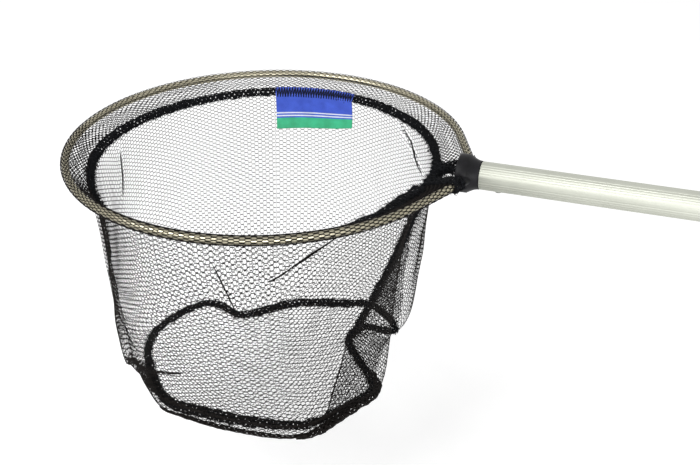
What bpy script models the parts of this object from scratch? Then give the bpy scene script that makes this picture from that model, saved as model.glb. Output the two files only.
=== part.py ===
"""Pond net: a wire hoop with a hanging net bag on a two-section twist-lock handle.

The hoop and the handle lie in the XY plane. +X runs from the hoop along the handle to its
free end, +Z is up, and the origin is on the handle's axis in the middle of the hand grip.
Lengths along the handle are first worked out as stations, measured from the hoop's centre.
"""

import math

import bmesh
import bpy
from mathutils import Vector

MM = 0.001
GAP = 0.3 * MM

# Hoop: round wire, leaving the circle at the throat and running straight into the socket
ROD_DIAMETER = 6.0 * MM
HOOP_RADIUS = 160.0 * MM
THROAT_ANGLE = math.radians(24.0)
TAIL_SPACING = 11.2 * MM
TAIL_BEND_RADIUS = 9.0 * MM
TAIL_IN_SPIGOT = 24.0 * MM

# Net: a hem folded round the wire, a seam under it, a slack wall of open meshes and a flat base
CLOTH = 0.6 * MM
HEM_EASE = 0.2 * MM
HEM_END_ANGLE = math.radians(8.4)
BINDING_CLOTH = 1.5 * MM
BINDING_WIDTH = 7.0 * MM
HEM_WIDTH = 20.0 * MM
RIM_SEAM_DROP = 9.0 * MM
RIM_SEAM_WIDTH = 7.5 * MM
RIM_SEAM_THICKNESS = 1.8 * MM
RIM_SEAM_TILT = math.radians(45.0)
BASE_TAKE_IN = 34.0 * MM
BASE_DROP = 200.0 * MM
BASE_SAG = 6.0 * MM
BASE_SEAM_WIDTH = 5.0 * MM
BASE_SEAM_HEIGHT = 5.0 * MM
MESH_CORD = 1.6 * MM
MESHES_ROUND = 24
MESH_ROWS = 8
WALL_SWELL = 43.0 * MM
WALL_SLUMP = 70.0 * MM
SLACK_FLARE = 0.02
TAUT_FLARE = -0.1
SLACK_UPPER_REACH = 0.52
TAUT_UPPER_REACH = 0.35
TAUT_SWELL_SHARE = 0.1
HANDLE_SIDE_TAKE_IN = 8.0 * MM
HANDLE_SIDE_LIFT = 10.0 * MM
HANDLE_SIDE_TAUT = 62.0 * MM
SIDE_SEAM_ANGLE = math.radians(-8.0)
SIDE_SEAM_WIDTH = 5.4 * MM
SIDE_SEAM_THICKNESS = 1.8 * MM

# Woven label, sewn to the rim seam on the inside of the bag
LABEL_WIDTH = 70.0 * MM
LABEL_DROP = 36.0 * MM
LABEL_THICKNESS = 0.6 * MM
LABEL_ANGLE = math.radians(94.8)

# Socket: a flared moulding round the wire's tails, with a spigot in the front tube
SOCKET_SET_OUT = 1.5 * MM
SOCKET_MOUTH_DIAMETER = 30.0 * MM
SOCKET_BAND = 8.0 * MM
SOCKET_HEAD_LENGTH = 17.5 * MM
SOCKET_EDGE = 1.2 * MM
SOCKET_DISH_DIAMETER = 20.0 * MM
SOCKET_DISH_DEPTH = 1.5 * MM
SPIGOT_LENGTH = 29.0 * MM
RIVET_STATION = 14.0 * MM
RIVET_DIAMETER = 3.2 * MM
RIVET_HEAD_DIAMETER = 6.4 * MM
RIVET_HEAD_HEIGHT = 1.2 * MM
RIVET_DEPTH = 3.0 * MM

# Front tube: fluted, carried by the twist lock inside the rear tube
FRONT_TUBE_DIAMETER = 22.0 * MM
FRONT_TUBE_WALL = 1.0 * MM
FRONT_TUBE_LENGTH = 560.0 * MM
FRONT_TUBE_SHOWING = 220.0 * MM
FLUTE_BANDS = 8
FLUTES_IN_BAND = 4
FLUTE_PITCH = 1.15 * MM
FLUTE_WIDTH = 0.8 * MM
FLUTE_DEPTH = 0.3 * MM

# Twist lock: a plug with an off-centre journal, a split ring on it and a screw to keep it on
LOCK_SPIGOT_LENGTH = 20.0 * MM
LOCK_FLANGE = 2.5 * MM
JOURNAL_DIAMETER = 12.0 * MM
JOURNAL_LENGTH = 12.0 * MM
JOURNAL_OFFSET = 0.6 * MM
LOCK_RING_SPLIT = 2.4 * MM
LOCK_SCREW_DIAMETER = 3.6 * MM
LOCK_SCREW_DEPTH = 14.0 * MM
LOCK_SCREW_HEAD_DIAMETER = 16.0 * MM
LOCK_SCREW_HEAD_HEIGHT = 2.6 * MM

# Rear tube and what is on it
REAR_TUBE_WALL = 1.2 * MM
REAR_TUBE_LENGTH = 600.0 * MM
SLIDING_CLEARANCE = 0.5 * MM
COLLAR_SLEEVE = 32.0 * MM
COLLAR_LIP = 8.0 * MM
COLLAR_WALL = 1.9 * MM
COLLAR_RIB_HEIGHT = 0.7 * MM
COLLAR_RIBS = 16
GRIP_LENGTH = 130.0 * MM
GRIP_WALL = 3.0 * MM
GRIP_RINGS = 7
GRIP_RING_DEPTH = 0.8 * MM
CAP_SLEEVE = 22.0 * MM
CAP_WALL = 1.8 * MM
CAP_END_LENGTH = 28.0 * MM
CAP_EDGE = 2.5 * MM
HANGING_HOLE_DIAMETER = 9.0 * MM

# How finely the round shapes are divided
CIRCLE_STEPS = 28
ROD_SIDES = 8
TURN_STEPS = 32
NET_STEPS = 48

ROD_RADIUS = ROD_DIAMETER / 2
RIM_SEAM_RADIUS = HOOP_RADIUS - HEM_WIDTH
BASE_RADIUS = RIM_SEAM_RADIUS - BASE_TAKE_IN
TAIL_Y = TAIL_SPACING / 2
FRONT_RADIUS = FRONT_TUBE_DIAMETER / 2
FRONT_BORE = FRONT_RADIUS - FRONT_TUBE_WALL
REAR_BORE = FRONT_RADIUS + SLIDING_CLEARANCE
REAR_RADIUS = REAR_BORE + REAR_TUBE_WALL
SLEEVE_BORE = REAR_RADIUS + GAP

SOCKET_FACE = HOOP_RADIUS + SOCKET_SET_OUT
SOCKET_END = SOCKET_FACE + SOCKET_HEAD_LENGTH
FRONT_TUBE_START = SOCKET_END + GAP
FRONT_TUBE_END = FRONT_TUBE_START + FRONT_TUBE_LENGTH
REAR_TUBE_START = FRONT_TUBE_START + FRONT_TUBE_SHOWING
REAR_TUBE_END = REAR_TUBE_START + REAR_TUBE_LENGTH
CAP_START = REAR_TUBE_END - CAP_SLEEVE
CAP_END = REAR_TUBE_END + CAP_END_LENGTH
GRIP_END = CAP_START - GAP
GRIP_START = GRIP_END - GRIP_LENGTH
GRIP_STATION = (GRIP_START + GRIP_END) / 2


def clear_scene():
    for item in list(bpy.data.objects):
        bpy.data.objects.remove(item)


def material(name, colour, roughness, metallic=0.0):
    made = bpy.data.materials.new(name)
    made.use_nodes = True
    shader = made.node_tree.nodes["Principled BSDF"]
    shader.inputs["Base Color"].default_value = (*colour, 1.0)
    shader.inputs["Roughness"].default_value = roughness
    shader.inputs["Metallic"].default_value = metallic
    return made


def empty(name, location, parent=None):
    made = bpy.data.objects.new(name, None)
    bpy.context.collection.objects.link(made)
    made.location = location
    made.parent = parent
    return made


def body(name, bm, look, parent):
    """Turn a bmesh, in its parent's axes, into a named object."""
    bmesh.ops.recalc_face_normals(bm, faces=bm.faces)
    mesh = bpy.data.meshes.new(name)
    bm.to_mesh(mesh)
    bm.free()
    mesh.materials.append(look)
    mesh.shade_smooth()
    mesh.set_sharp_from_angle(angle=math.radians(35.0))
    made = bpy.data.objects.new(name, mesh)
    bpy.context.collection.objects.link(made)
    made.parent = parent
    return made


def loft(rings, closed):
    """Join loops of equally many points; a closed loft is a ring, an open one gets end caps."""
    bm = bmesh.new()
    loops = [[bm.verts.new(point) for point in ring] for ring in rings]
    pairs = list(zip(loops, loops[1:]))
    if closed:
        pairs.append((loops[-1], loops[0]))
    for first, second in pairs:
        for i in range(len(first)):
            j = (i + 1) % len(first)
            bm.faces.new((first[i], first[j], second[j], second[i]))
    if not closed:
        caps = [bm.faces.new(loops[0]), bm.faces.new(loops[-1])]
        bm.normal_update()
        bmesh.ops.triangulate(bm, faces=caps)
    return bm


def turned(profile, steps=TURN_STEPS, centre_z=0.0):
    """A solid turned about the handle's axis from (station, radius) pairs, front to back."""
    rings = []
    for station, radius in profile:
        ring = []
        for i in range(steps):
            angle = 2 * math.pi * i / steps
            ring.append((station, radius * math.cos(angle), centre_z + radius * math.sin(angle)))
        rings.append(ring)
    return loft(rings, closed=False)


def turned_tube(profile_at, angles):
    """A tube about the handle's axis: profile_at gives a closed (station, radius) outline."""
    rings = []
    for i, angle in enumerate(angles):
        outline = profile_at(i)
        rings.append([(x, r * math.cos(angle), r * math.sin(angle)) for x, r in outline])
    return loft(rings, closed=True)


def even_angles(steps):
    return [2 * math.pi * i / steps for i in range(steps)]


def cut(target, cutter):
    cutter.hide_render = True
    cutter.display_type = "WIRE"
    boolean = target.modifiers.new("cut " + cutter.name, "BOOLEAN")
    boolean.operation = "DIFFERENCE"
    boolean.solver = "EXACT"
    boolean.object = cutter


def thicken(target, thickness):
    solidify = target.modifiers.new("cloth", "SOLIDIFY")
    solidify.thickness = thickness
    solidify.offset = 0.0
    solidify.use_even_offset = True


def polar(angle, radius, z):
    return Vector((radius * math.cos(angle), radius * math.sin(angle), z))


def blend(first, second, share):
    return first + (second - first) * share


# Hoop

def rod_reach(angle):
    """Distance of the wire's centre from the hoop's centre, straight past the throat angle."""
    past = max(0.0, THROAT_ANGLE - abs(angle))
    return HOOP_RADIUS / math.cos(past)


def circle_angles():
    span = math.pi - THROAT_ANGLE
    return [THROAT_ANGLE + span * i / CIRCLE_STEPS for i in range(CIRCLE_STEPS + 1)]


def tail_bend():
    """The bend from the straight throat into the tail, on the +Y side, from the tail's end."""
    corner_x = (HOOP_RADIUS - TAIL_Y * math.sin(THROAT_ANGLE)) / math.cos(THROAT_ANGLE)
    turn = math.pi / 2 - THROAT_ANGLE
    tail_start = corner_x + TAIL_BEND_RADIUS * math.tan(turn / 2)
    centre = Vector((tail_start, TAIL_Y + TAIL_BEND_RADIUS, 0.0))
    steps = 5
    points = [Vector((SOCKET_END + TAIL_IN_SPIGOT, TAIL_Y, 0.0))]
    for i in range(steps + 1):
        angle = -math.pi / 2 - turn * i / steps
        points.append(centre + TAIL_BEND_RADIUS * Vector((math.cos(angle), math.sin(angle), 0.0)))
    return points


def mirrored(points):
    return [Vector((p.x, -p.y, p.z)) for p in reversed(points)]


def wire(points, radius, sides):
    """A round bar along points that lie in the hoop's plane."""
    rings = []
    last = len(points) - 1
    for i, point in enumerate(points):
        ahead = (points[min(i + 1, last)] - point).normalized()
        behind = (point - points[max(i - 1, 0)]).normalized()
        along = (ahead + behind).normalized()
        across = Vector((-along.y, along.x, 0.0))
        stretch = 1.0
        if 0 < i < last:
            stretch = 1.0 / max(0.5, along.dot(ahead))
        ring = []
        for k in range(sides):
            angle = 2 * math.pi * (k + 0.5) / sides
            ring.append(point + across * (radius * stretch * math.cos(angle))
                        + Vector((0.0, 0.0, radius * math.sin(angle))))
        rings.append(ring)
    return loft(rings, closed=False)


def make_hoop(look, parent):
    half = tail_bend() + [polar(a, HOOP_RADIUS, 0.0) for a in circle_angles()]
    return body("hoop_rod", wire(half + mirrored(half)[1:], ROD_RADIUS, ROD_SIDES), look, parent)


# Hem and its bound ends

def rim_seam_end(side):
    """One end of the rim seam's section: side -1 is its upper outer end, +1 its lower inner end."""
    reach = side * RIM_SEAM_WIDTH / 2
    return (RIM_SEAM_RADIUS - reach * math.cos(RIM_SEAM_TILT),
            -RIM_SEAM_DROP - reach * math.sin(RIM_SEAM_TILT))


def hem_section(angle, cloth):
    """The folded strip's section in the half plane at an angle round the hoop."""
    fold = ROD_RADIUS + GAP + HEM_EASE + cloth / 2
    reach = rod_reach(angle)
    seam_r, seam_z = rim_seam_end(-1)
    slope = math.atan2(-seam_z, reach - seam_r)
    span = math.hypot(-seam_z, reach - seam_r) - 2 * GAP
    apart = cloth / 2 + GAP / 2
    lean = math.asin((fold - apart) / span)
    arc_steps = 5
    layers = []
    for side in (1, -1):
        radius = fold + side * cloth / 2
        edge = apart + side * cloth / 2
        line = [(-span, edge)]
        for i in range(arc_steps + 1):
            turn = math.pi / 2 + lean - (math.pi + 2 * lean) * i / arc_steps
            line.append((radius * math.cos(turn), radius * math.sin(turn)))
        line.append((-span, -edge))
        layers.append(line)
    outline = layers[0] + layers[1][::-1]
    points = []
    for along, up in outline:
        r = reach + along * math.cos(slope) - up * math.sin(slope)
        z = along * math.sin(slope) + up * math.cos(slope)
        points.append(polar(angle, r, z))
    return points


def make_hem(look, parent):
    straight_steps = 3
    half = []
    for i in range(straight_steps):
        half.append(blend(HEM_END_ANGLE, THROAT_ANGLE, i / straight_steps))
    half += circle_angles()
    angles = half + [-a for a in reversed(half[:-1])]
    return body("net_hem", loft([hem_section(a, CLOTH) for a in angles], closed=False), look, parent)


def make_hem_binding(name, side, look, parent):
    start = HEM_END_ANGLE - GAP / RIM_SEAM_RADIUS
    width = BINDING_WIDTH / HOOP_RADIUS
    steps = 3
    angles = [side * (start - width * i / steps) for i in range(steps + 1)]
    sections = [hem_section(a, BINDING_CLOTH) for a in angles]
    return body(name, loft(sections, closed=False), look, parent)


# Bag

def handle_side(angle):
    """How far an angle round the hoop belongs to the side by the handle, where the wall is taut."""
    return (0.5 + 0.5 * math.cos(angle)) ** 3


def base_edge(angle):
    """Radius and height of the base seam's middle at an angle."""
    share = handle_side(angle)
    return (BASE_RADIUS - HANDLE_SIDE_TAKE_IN * share,
            -BASE_DROP + HANDLE_SIDE_LIFT * share)


def wall_point(angle, share):
    """The wall's middle: a cubic from the rim seam to the base seam, slack away from the handle."""
    taut = handle_side(angle)
    across = RIM_SEAM_THICKNESS / 2 + GAP + MESH_CORD / 2
    top_r = RIM_SEAM_RADIUS
    top_z = -RIM_SEAM_DROP - across / math.cos(RIM_SEAM_TILT)
    edge_r, edge_z = base_edge(angle)
    end_r = edge_r + BASE_SEAM_WIDTH / 2 + GAP + MESH_CORD / 2
    end_z = edge_z - BASE_SEAM_HEIGHT / 2
    drop = top_z - end_z
    upper_r = top_r + blend(SLACK_FLARE, TAUT_FLARE, taut) * RIM_SEAM_RADIUS
    upper_z = top_z - blend(SLACK_UPPER_REACH, TAUT_UPPER_REACH, taut) * drop
    lower_r = end_r + WALL_SWELL - TAUT_SWELL_SHARE * HANDLE_SIDE_TAUT * taut
    lower_z = end_z - WALL_SLUMP + HANDLE_SIDE_TAUT * taut
    a, b = 1.0 - share, share
    weights = (a ** 3, 3 * a * a * b, 3 * a * b * b, b ** 3)
    r = sum(w * v for w, v in zip(weights, (top_r, upper_r, lower_r, end_r)))
    z = sum(w * v for w, v in zip(weights, (top_z, upper_z, lower_z, end_z)))
    return polar(angle, r, z)


def make_wall(look, parent):
    """Open diamond meshes, coarser than the real netting, hung by their top knots under the rim."""
    bm = bmesh.new()
    knots = []
    for j in range(MESH_ROWS + 1):
        row = []
        for i in range(MESHES_ROUND):
            angle = SIDE_SEAM_ANGLE + 2 * math.pi * (i + 0.5 * (j % 2)) / MESHES_ROUND
            row.append(bm.verts.new(wall_point(angle, j / MESH_ROWS)))
        knots.append(row)
    for j in range(MESH_ROWS - 1):
        for i in range(MESHES_ROUND):
            left = (i - 1 + j % 2) % MESHES_ROUND
            right = (left + 1) % MESHES_ROUND
            bm.faces.new((knots[j][i], knots[j + 1][left], knots[j + 2][i], knots[j + 1][right]))
    made = body("net_side", bm, look, parent)
    cords = made.modifiers.new("cords", "WIREFRAME")
    cords.thickness = MESH_CORD
    cords.offset = 0.0
    cords.use_boundary = True
    cords.use_even_offset = False
    return made


def make_base(look, parent):
    bm = bmesh.new()
    centre = bm.verts.new((0.0, 0.0, -BASE_DROP - BASE_SAG))
    shares = (0.4, 0.75, 1.0)
    rows = []
    for share in shares:
        row = []
        for angle in even_angles(NET_STEPS):
            edge_r, edge_z = base_edge(angle)
            reach = edge_r - BASE_SEAM_WIDTH / 2 - GAP
            row.append(bm.verts.new(polar(angle, reach * share,
                                          blend(centre.co.z, edge_z, share * share))))
        rows.append(row)
    for i in range(NET_STEPS):
        bm.faces.new((centre, rows[0][i], rows[0][(i + 1) % NET_STEPS]))
    for inner, outer in zip(rows, rows[1:]):
        for i in range(NET_STEPS):
            j = (i + 1) % NET_STEPS
            bm.faces.new((inner[i], outer[i], outer[j], inner[j]))
    made = body("net_base", bm, look, parent)
    thicken(made, CLOTH)
    return made


def make_rim_seam(look, parent):
    half = RIM_SEAM_THICKNESS / 2
    lift_r = half * math.sin(RIM_SEAM_TILT)
    lift_z = half * math.cos(RIM_SEAM_TILT)
    outer_r, outer_z = rim_seam_end(-1)
    inner_r, inner_z = rim_seam_end(1)
    outline = ((outer_r - lift_r, outer_z + lift_z), (inner_r - lift_r, inner_z + lift_z),
               (inner_r + lift_r, inner_z - lift_z), (outer_r + lift_r, outer_z - lift_z))
    rings = [[polar(a, r, z) for r, z in outline] for a in even_angles(NET_STEPS)]
    return body("rim_seam", loft(rings, closed=True), look, parent)


def make_base_seam(look, parent):
    half_w = BASE_SEAM_WIDTH / 2
    half_h = BASE_SEAM_HEIGHT / 2
    rings = []
    for angle in even_angles(NET_STEPS):
        r, z = base_edge(angle)
        rings.append([polar(angle, r + half_w, z + half_h), polar(angle, r - half_w, z + half_h),
                      polar(angle, r - half_w, z - half_h), polar(angle, r + half_w, z - half_h)])
    return body("base_seam", loft(rings, closed=True), look, parent)


def make_side_seam(look, parent):
    """The seam that closes the wall, standing on its outer face from rim to base."""
    across = polar(SIDE_SEAM_ANGLE + math.pi / 2, SIDE_SEAM_WIDTH / 2, 0.0)
    lift = MESH_CORD / 2 + GAP + SIDE_SEAM_THICKNESS / 2
    steps = 2 * MESH_ROWS
    rings = []
    for i in range(steps + 1):
        share = min(max(i / steps, 0.02), 0.97)
        point = wall_point(SIDE_SEAM_ANGLE, share)
        along = wall_point(SIDE_SEAM_ANGLE, share + 0.01) - wall_point(SIDE_SEAM_ANGLE, share - 0.01)
        out = along.cross(across).normalized()
        if out.dot(polar(SIDE_SEAM_ANGLE, 1.0, -0.2)) < 0.0:
            out.negate()
        middle = point + out * lift
        up = out * (SIDE_SEAM_THICKNESS / 2)
        rings.append([middle + across + up, middle - across + up,
                      middle - across - up, middle + across - up])
    return body("side_seam", loft(rings, closed=False), look, parent)


def make_label(look, parent):
    """Lies on the rim seam's inner face, turns over its lower end and hangs inside the wall."""
    lift = RIM_SEAM_THICKNESS / 2 + GAP + LABEL_THICKNESS / 2
    top_r, top_z = rim_seam_end(-0.8)
    turn_r, turn_z = rim_seam_end(1.1)
    rise_r = -lift * math.sin(RIM_SEAM_TILT)
    rise_z = lift * math.cos(RIM_SEAM_TILT)
    line = [(top_r + rise_r, top_z + rise_z), (turn_r + rise_r, turn_z + rise_z)]
    hang_steps = 3
    for i in range(1, hang_steps + 1):
        line.append((line[1][0], blend(line[1][1], -RIM_SEAM_DROP - LABEL_DROP, i / hang_steps)))
    half = LABEL_WIDTH / 2 / RIM_SEAM_RADIUS
    columns = 10
    bm = bmesh.new()
    grid = []
    for i in range(columns + 1):
        angle = LABEL_ANGLE + half * (2 * i / columns - 1)
        grid.append([bm.verts.new(polar(angle, r, z)) for r, z in line])
    for first, second in zip(grid, grid[1:]):
        for k in range(len(line) - 1):
            bm.faces.new((first[k], first[k + 1], second[k + 1], second[k]))
    made = body("label", bm, look, parent)
    thicken(made, LABEL_THICKNESS)
    return made


# Socket and its rivet

def make_socket(look, parent):
    mouth = SOCKET_MOUTH_DIAMETER / 2
    dish = SOCKET_DISH_DIAMETER / 2
    spigot = FRONT_BORE - GAP
    spigot_end = SOCKET_END + SPIGOT_LENGTH
    taper_steps = 6
    profile = [(SOCKET_FACE + SOCKET_DISH_DEPTH, dish - SOCKET_DISH_DEPTH),
               (SOCKET_FACE, dish),
               (SOCKET_FACE, mouth - SOCKET_EDGE),
               (SOCKET_FACE + SOCKET_EDGE, mouth)]
    for i in range(taper_steps + 1):
        share = i / taper_steps
        station = blend(SOCKET_FACE + SOCKET_BAND, SOCKET_END, share)
        profile.append((station, blend(mouth, FRONT_RADIUS, math.sin(share * math.pi / 2))))
    profile += [(SOCKET_END, spigot), (spigot_end - SOCKET_EDGE, spigot),
                (spigot_end, spigot - SOCKET_EDGE)]
    made = body("socket", turned(profile), look, parent)
    outside = polar(THROAT_ANGLE / 2, rod_reach(THROAT_ANGLE / 2), 0.0)
    past_end = Vector((GAP, 0.0, 0.0))
    tail = tail_bend()
    path = [tail[0] + past_end] + tail[1:] + [outside]
    for name, points in (("tail bore back", path), ("tail bore front", mirrored(path))):
        cutter = body(name, wire(points, ROD_RADIUS + GAP, ROD_SIDES), look, parent)
        cut(made, cutter)
    return made


def rivet_profile(clearance):
    """Heights below the handle's axis, and radii, of the rivet or of the hole it needs."""
    radius = RIVET_DIAMETER / 2 + clearance
    tip = FRONT_RADIUS - FRONT_TUBE_WALL - RIVET_DEPTH - clearance
    return tip, radius


def upright(rings, station, steps):
    """A body turned about a vertical line under the handle's axis, from (depth, radius) pairs."""
    loops = []
    for depth, radius in rings:
        loop = []
        for i in range(steps):
            angle = 2 * math.pi * i / steps
            loop.append((station + radius * math.cos(angle), radius * math.sin(angle), -depth))
        loops.append(loop)
    return loft(loops, closed=False)


def make_rivet(look, parent, holed):
    station = FRONT_TUBE_START + RIVET_STATION
    tip, radius = rivet_profile(0.0)
    seat = FRONT_RADIUS + GAP
    head = RIVET_HEAD_DIAMETER / 2
    steps = 12
    rings = [(tip, radius), (seat, radius), (seat, head),
             (seat + 0.5 * RIVET_HEAD_HEIGHT, 0.85 * head), (seat + RIVET_HEAD_HEIGHT, 0.45 * head)]
    made = body("socket_rivet", upright(rings, station, steps), look, parent)
    hole_tip, hole_radius = rivet_profile(GAP)
    through = FRONT_RADIUS + 1.0 * MM
    drill = body("rivet hole", upright([(hole_tip, hole_radius), (through, hole_radius)], station, steps),
                 look, parent)
    for piece in holed:
        cut(piece, drill)
    return made


# Front tube

def flute_points():
    """Angles round the front tube with the depth of the surface below its full radius."""
    points = []
    edge = FLUTE_WIDTH / 2 / FRONT_RADIUS
    pitch = FLUTE_PITCH / FRONT_RADIUS
    for band in range(FLUTE_BANDS):
        middle = 2 * math.pi * band / FLUTE_BANDS
        for k in range(FLUTES_IN_BAND):
            centre = middle + (k - (FLUTES_IN_BAND - 1) / 2) * pitch
            points += [(centre - edge, 0.0), (centre, FLUTE_DEPTH), (centre + edge, 0.0)]
        points.append((2 * math.pi * (band + 0.5) / FLUTE_BANDS, 0.0))
    return points


def make_front_tube(look, parent):
    points = flute_points()

    def outline(i):
        outer = FRONT_RADIUS - points[i][1]
        return ((FRONT_TUBE_START, outer), (FRONT_TUBE_END, outer),
                (FRONT_TUBE_END, FRONT_BORE), (FRONT_TUBE_START, FRONT_BORE))

    return body("front_tube", turned_tube(outline, [angle for angle, depth in points]), look, parent)


# Twist lock

LOCK_FLANGE_START = FRONT_TUBE_END + GAP
JOURNAL_START = LOCK_FLANGE_START + LOCK_FLANGE
JOURNAL_END = JOURNAL_START + JOURNAL_LENGTH


def make_lock_plug(look, parent):
    spigot = FRONT_BORE - GAP
    flange = FRONT_RADIUS - FLUTE_DEPTH
    journal = JOURNAL_DIAMETER / 2
    rings = []
    for station, radius, rise in ((FRONT_TUBE_END - LOCK_SPIGOT_LENGTH, spigot, 0.0),
                                  (LOCK_FLANGE_START, spigot, 0.0),
                                  (LOCK_FLANGE_START, flange, 0.0),
                                  (JOURNAL_START, flange, 0.0),
                                  (JOURNAL_START, journal, JOURNAL_OFFSET),
                                  (JOURNAL_END, journal, JOURNAL_OFFSET)):
        ring = []
        for angle in even_angles(TURN_STEPS):
            ring.append((station, radius * math.cos(angle), rise + radius * math.sin(angle)))
        rings.append(ring)
    made = body("lock_plug", loft(rings, closed=False), look, parent)
    bore = LOCK_SCREW_DIAMETER / 2 + GAP
    tip = JOURNAL_END - LOCK_SCREW_DEPTH - GAP
    drill = body("lock screw bore", turned([(tip, bore), (JOURNAL_END + 1.0 * MM, bore)], 12, JOURNAL_OFFSET),
                 look, parent)
    cut(made, drill)
    return made


def make_lock_ring(look, parent):
    """A split ring that fills the rear tube's bore and turns on the off-centre journal."""
    outer = REAR_BORE - GAP
    inner = JOURNAL_DIAMETER / 2 + GAP
    front = JOURNAL_START + GAP
    back = JOURNAL_END - GAP
    half_split = LOCK_RING_SPLIT / 2
    steps = 28
    rings = []
    for i in range(steps + 1):
        share = 2 * i / steps - 1
        out_turn = share * (math.pi - math.asin(half_split / outer))
        in_turn = share * (math.pi - math.asin(half_split / inner))
        out_y, out_z = outer * math.sin(out_turn), outer * math.cos(out_turn)
        in_y, in_z = inner * math.sin(in_turn), JOURNAL_OFFSET + inner * math.cos(in_turn)
        rings.append([(front, out_y, out_z), (back, out_y, out_z),
                      (back, in_y, in_z), (front, in_y, in_z)])
    return body("lock_ring", loft(rings, closed=False), look, parent)


def make_lock_screw(look, parent):
    shank = LOCK_SCREW_DIAMETER / 2
    head = LOCK_SCREW_HEAD_DIAMETER / 2
    seat = JOURNAL_END + GAP
    top = seat + LOCK_SCREW_HEAD_HEIGHT
    profile = [(JOURNAL_END - LOCK_SCREW_DEPTH, shank), (seat, shank), (seat, head),
               (blend(seat, top, 0.4), head), (blend(seat, top, 0.8), 0.8 * head), (top, 0.5 * head)]
    return body("lock_screw", turned(profile, 24, JOURNAL_OFFSET), look, parent)


# Rear section

def make_rear_tube(look, parent):
    outline = ((REAR_TUBE_START, REAR_RADIUS), (REAR_TUBE_END, REAR_RADIUS),
               (REAR_TUBE_END, REAR_BORE), (REAR_TUBE_START, REAR_BORE))
    return body("rear_tube", turned_tube(lambda i: outline, even_angles(TURN_STEPS)), look, parent)


def make_collar(look, parent):
    """Sleeve over the rear tube's front end, with a lip that guides the front tube."""
    outer = SLEEVE_BORE + COLLAR_WALL
    nose = REAR_BORE + COLLAR_WALL
    seat = REAR_TUBE_START - GAP
    front = seat - COLLAR_LIP
    back = REAR_TUBE_START + COLLAR_SLEEVE
    edge = COLLAR_WALL / 2

    def outline(i):
        ribbed = outer + COLLAR_RIB_HEIGHT * (i % 4 in (1, 2))
        return ((front, nose - edge), (front + edge, nose), (seat, outer), (seat + edge, ribbed),
                (back - 2 * edge, ribbed), (back - edge, outer), (back, outer - edge),
                (back, SLEEVE_BORE), (seat, SLEEVE_BORE), (seat, REAR_BORE), (front, REAR_BORE))

    angles = []
    for rib in range(COLLAR_RIBS):
        for share in (0.0, 0.2, 0.5, 0.7):
            angles.append(2 * math.pi * (rib + share) / COLLAR_RIBS)
    return body("guide_collar", turned_tube(outline, angles), look, parent)


def make_grip(look, parent):
    """Soft sleeve with round grooves across it."""
    outer = SLEEVE_BORE + GRIP_WALL
    edge = GRIP_WALL / 2
    pitch = GRIP_LENGTH / (GRIP_RINGS + 1)
    groove = 0.12 * pitch
    outline = [(GRIP_START, SLEEVE_BORE), (GRIP_START, outer - edge), (GRIP_START + edge, outer)]
    for ring in range(1, GRIP_RINGS + 1):
        middle = GRIP_START + pitch * ring
        outline += [(middle - groove, outer), (middle, outer - GRIP_RING_DEPTH), (middle + groove, outer)]
    outline += [(GRIP_END - edge, outer), (GRIP_END, outer - edge), (GRIP_END, SLEEVE_BORE)]
    return body("grip", turned_tube(lambda i: outline, even_angles(24)), look, parent)


def make_end_cap(look, parent):
    """Closed cap over the rear tube's end, with a hole across its solid end to hang the net by."""
    outer = SLEEVE_BORE + CAP_WALL
    plug = REAR_TUBE_END + GAP
    profile = [(CAP_START, SLEEVE_BORE), (CAP_START, outer - CAP_WALL / 2), (CAP_START + CAP_WALL / 2, outer),
               (CAP_END - CAP_EDGE, outer), (CAP_END, outer - CAP_EDGE)]
    bm = turned([(plug, SLEEVE_BORE)] + profile)
    made = body("end_cap", bm, look, parent)
    station = blend(plug, CAP_END, 0.5)
    radius = HANGING_HOLE_DIAMETER / 2
    past = outer + 1.0 * MM
    loops = []
    for y in (-past, past):
        loops.append([(station + radius * math.cos(a), y, radius * math.sin(a)) for a in even_angles(20)])
    cut(made, body("hanging hole", loft(loops, closed=False), look, parent))
    return made


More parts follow.
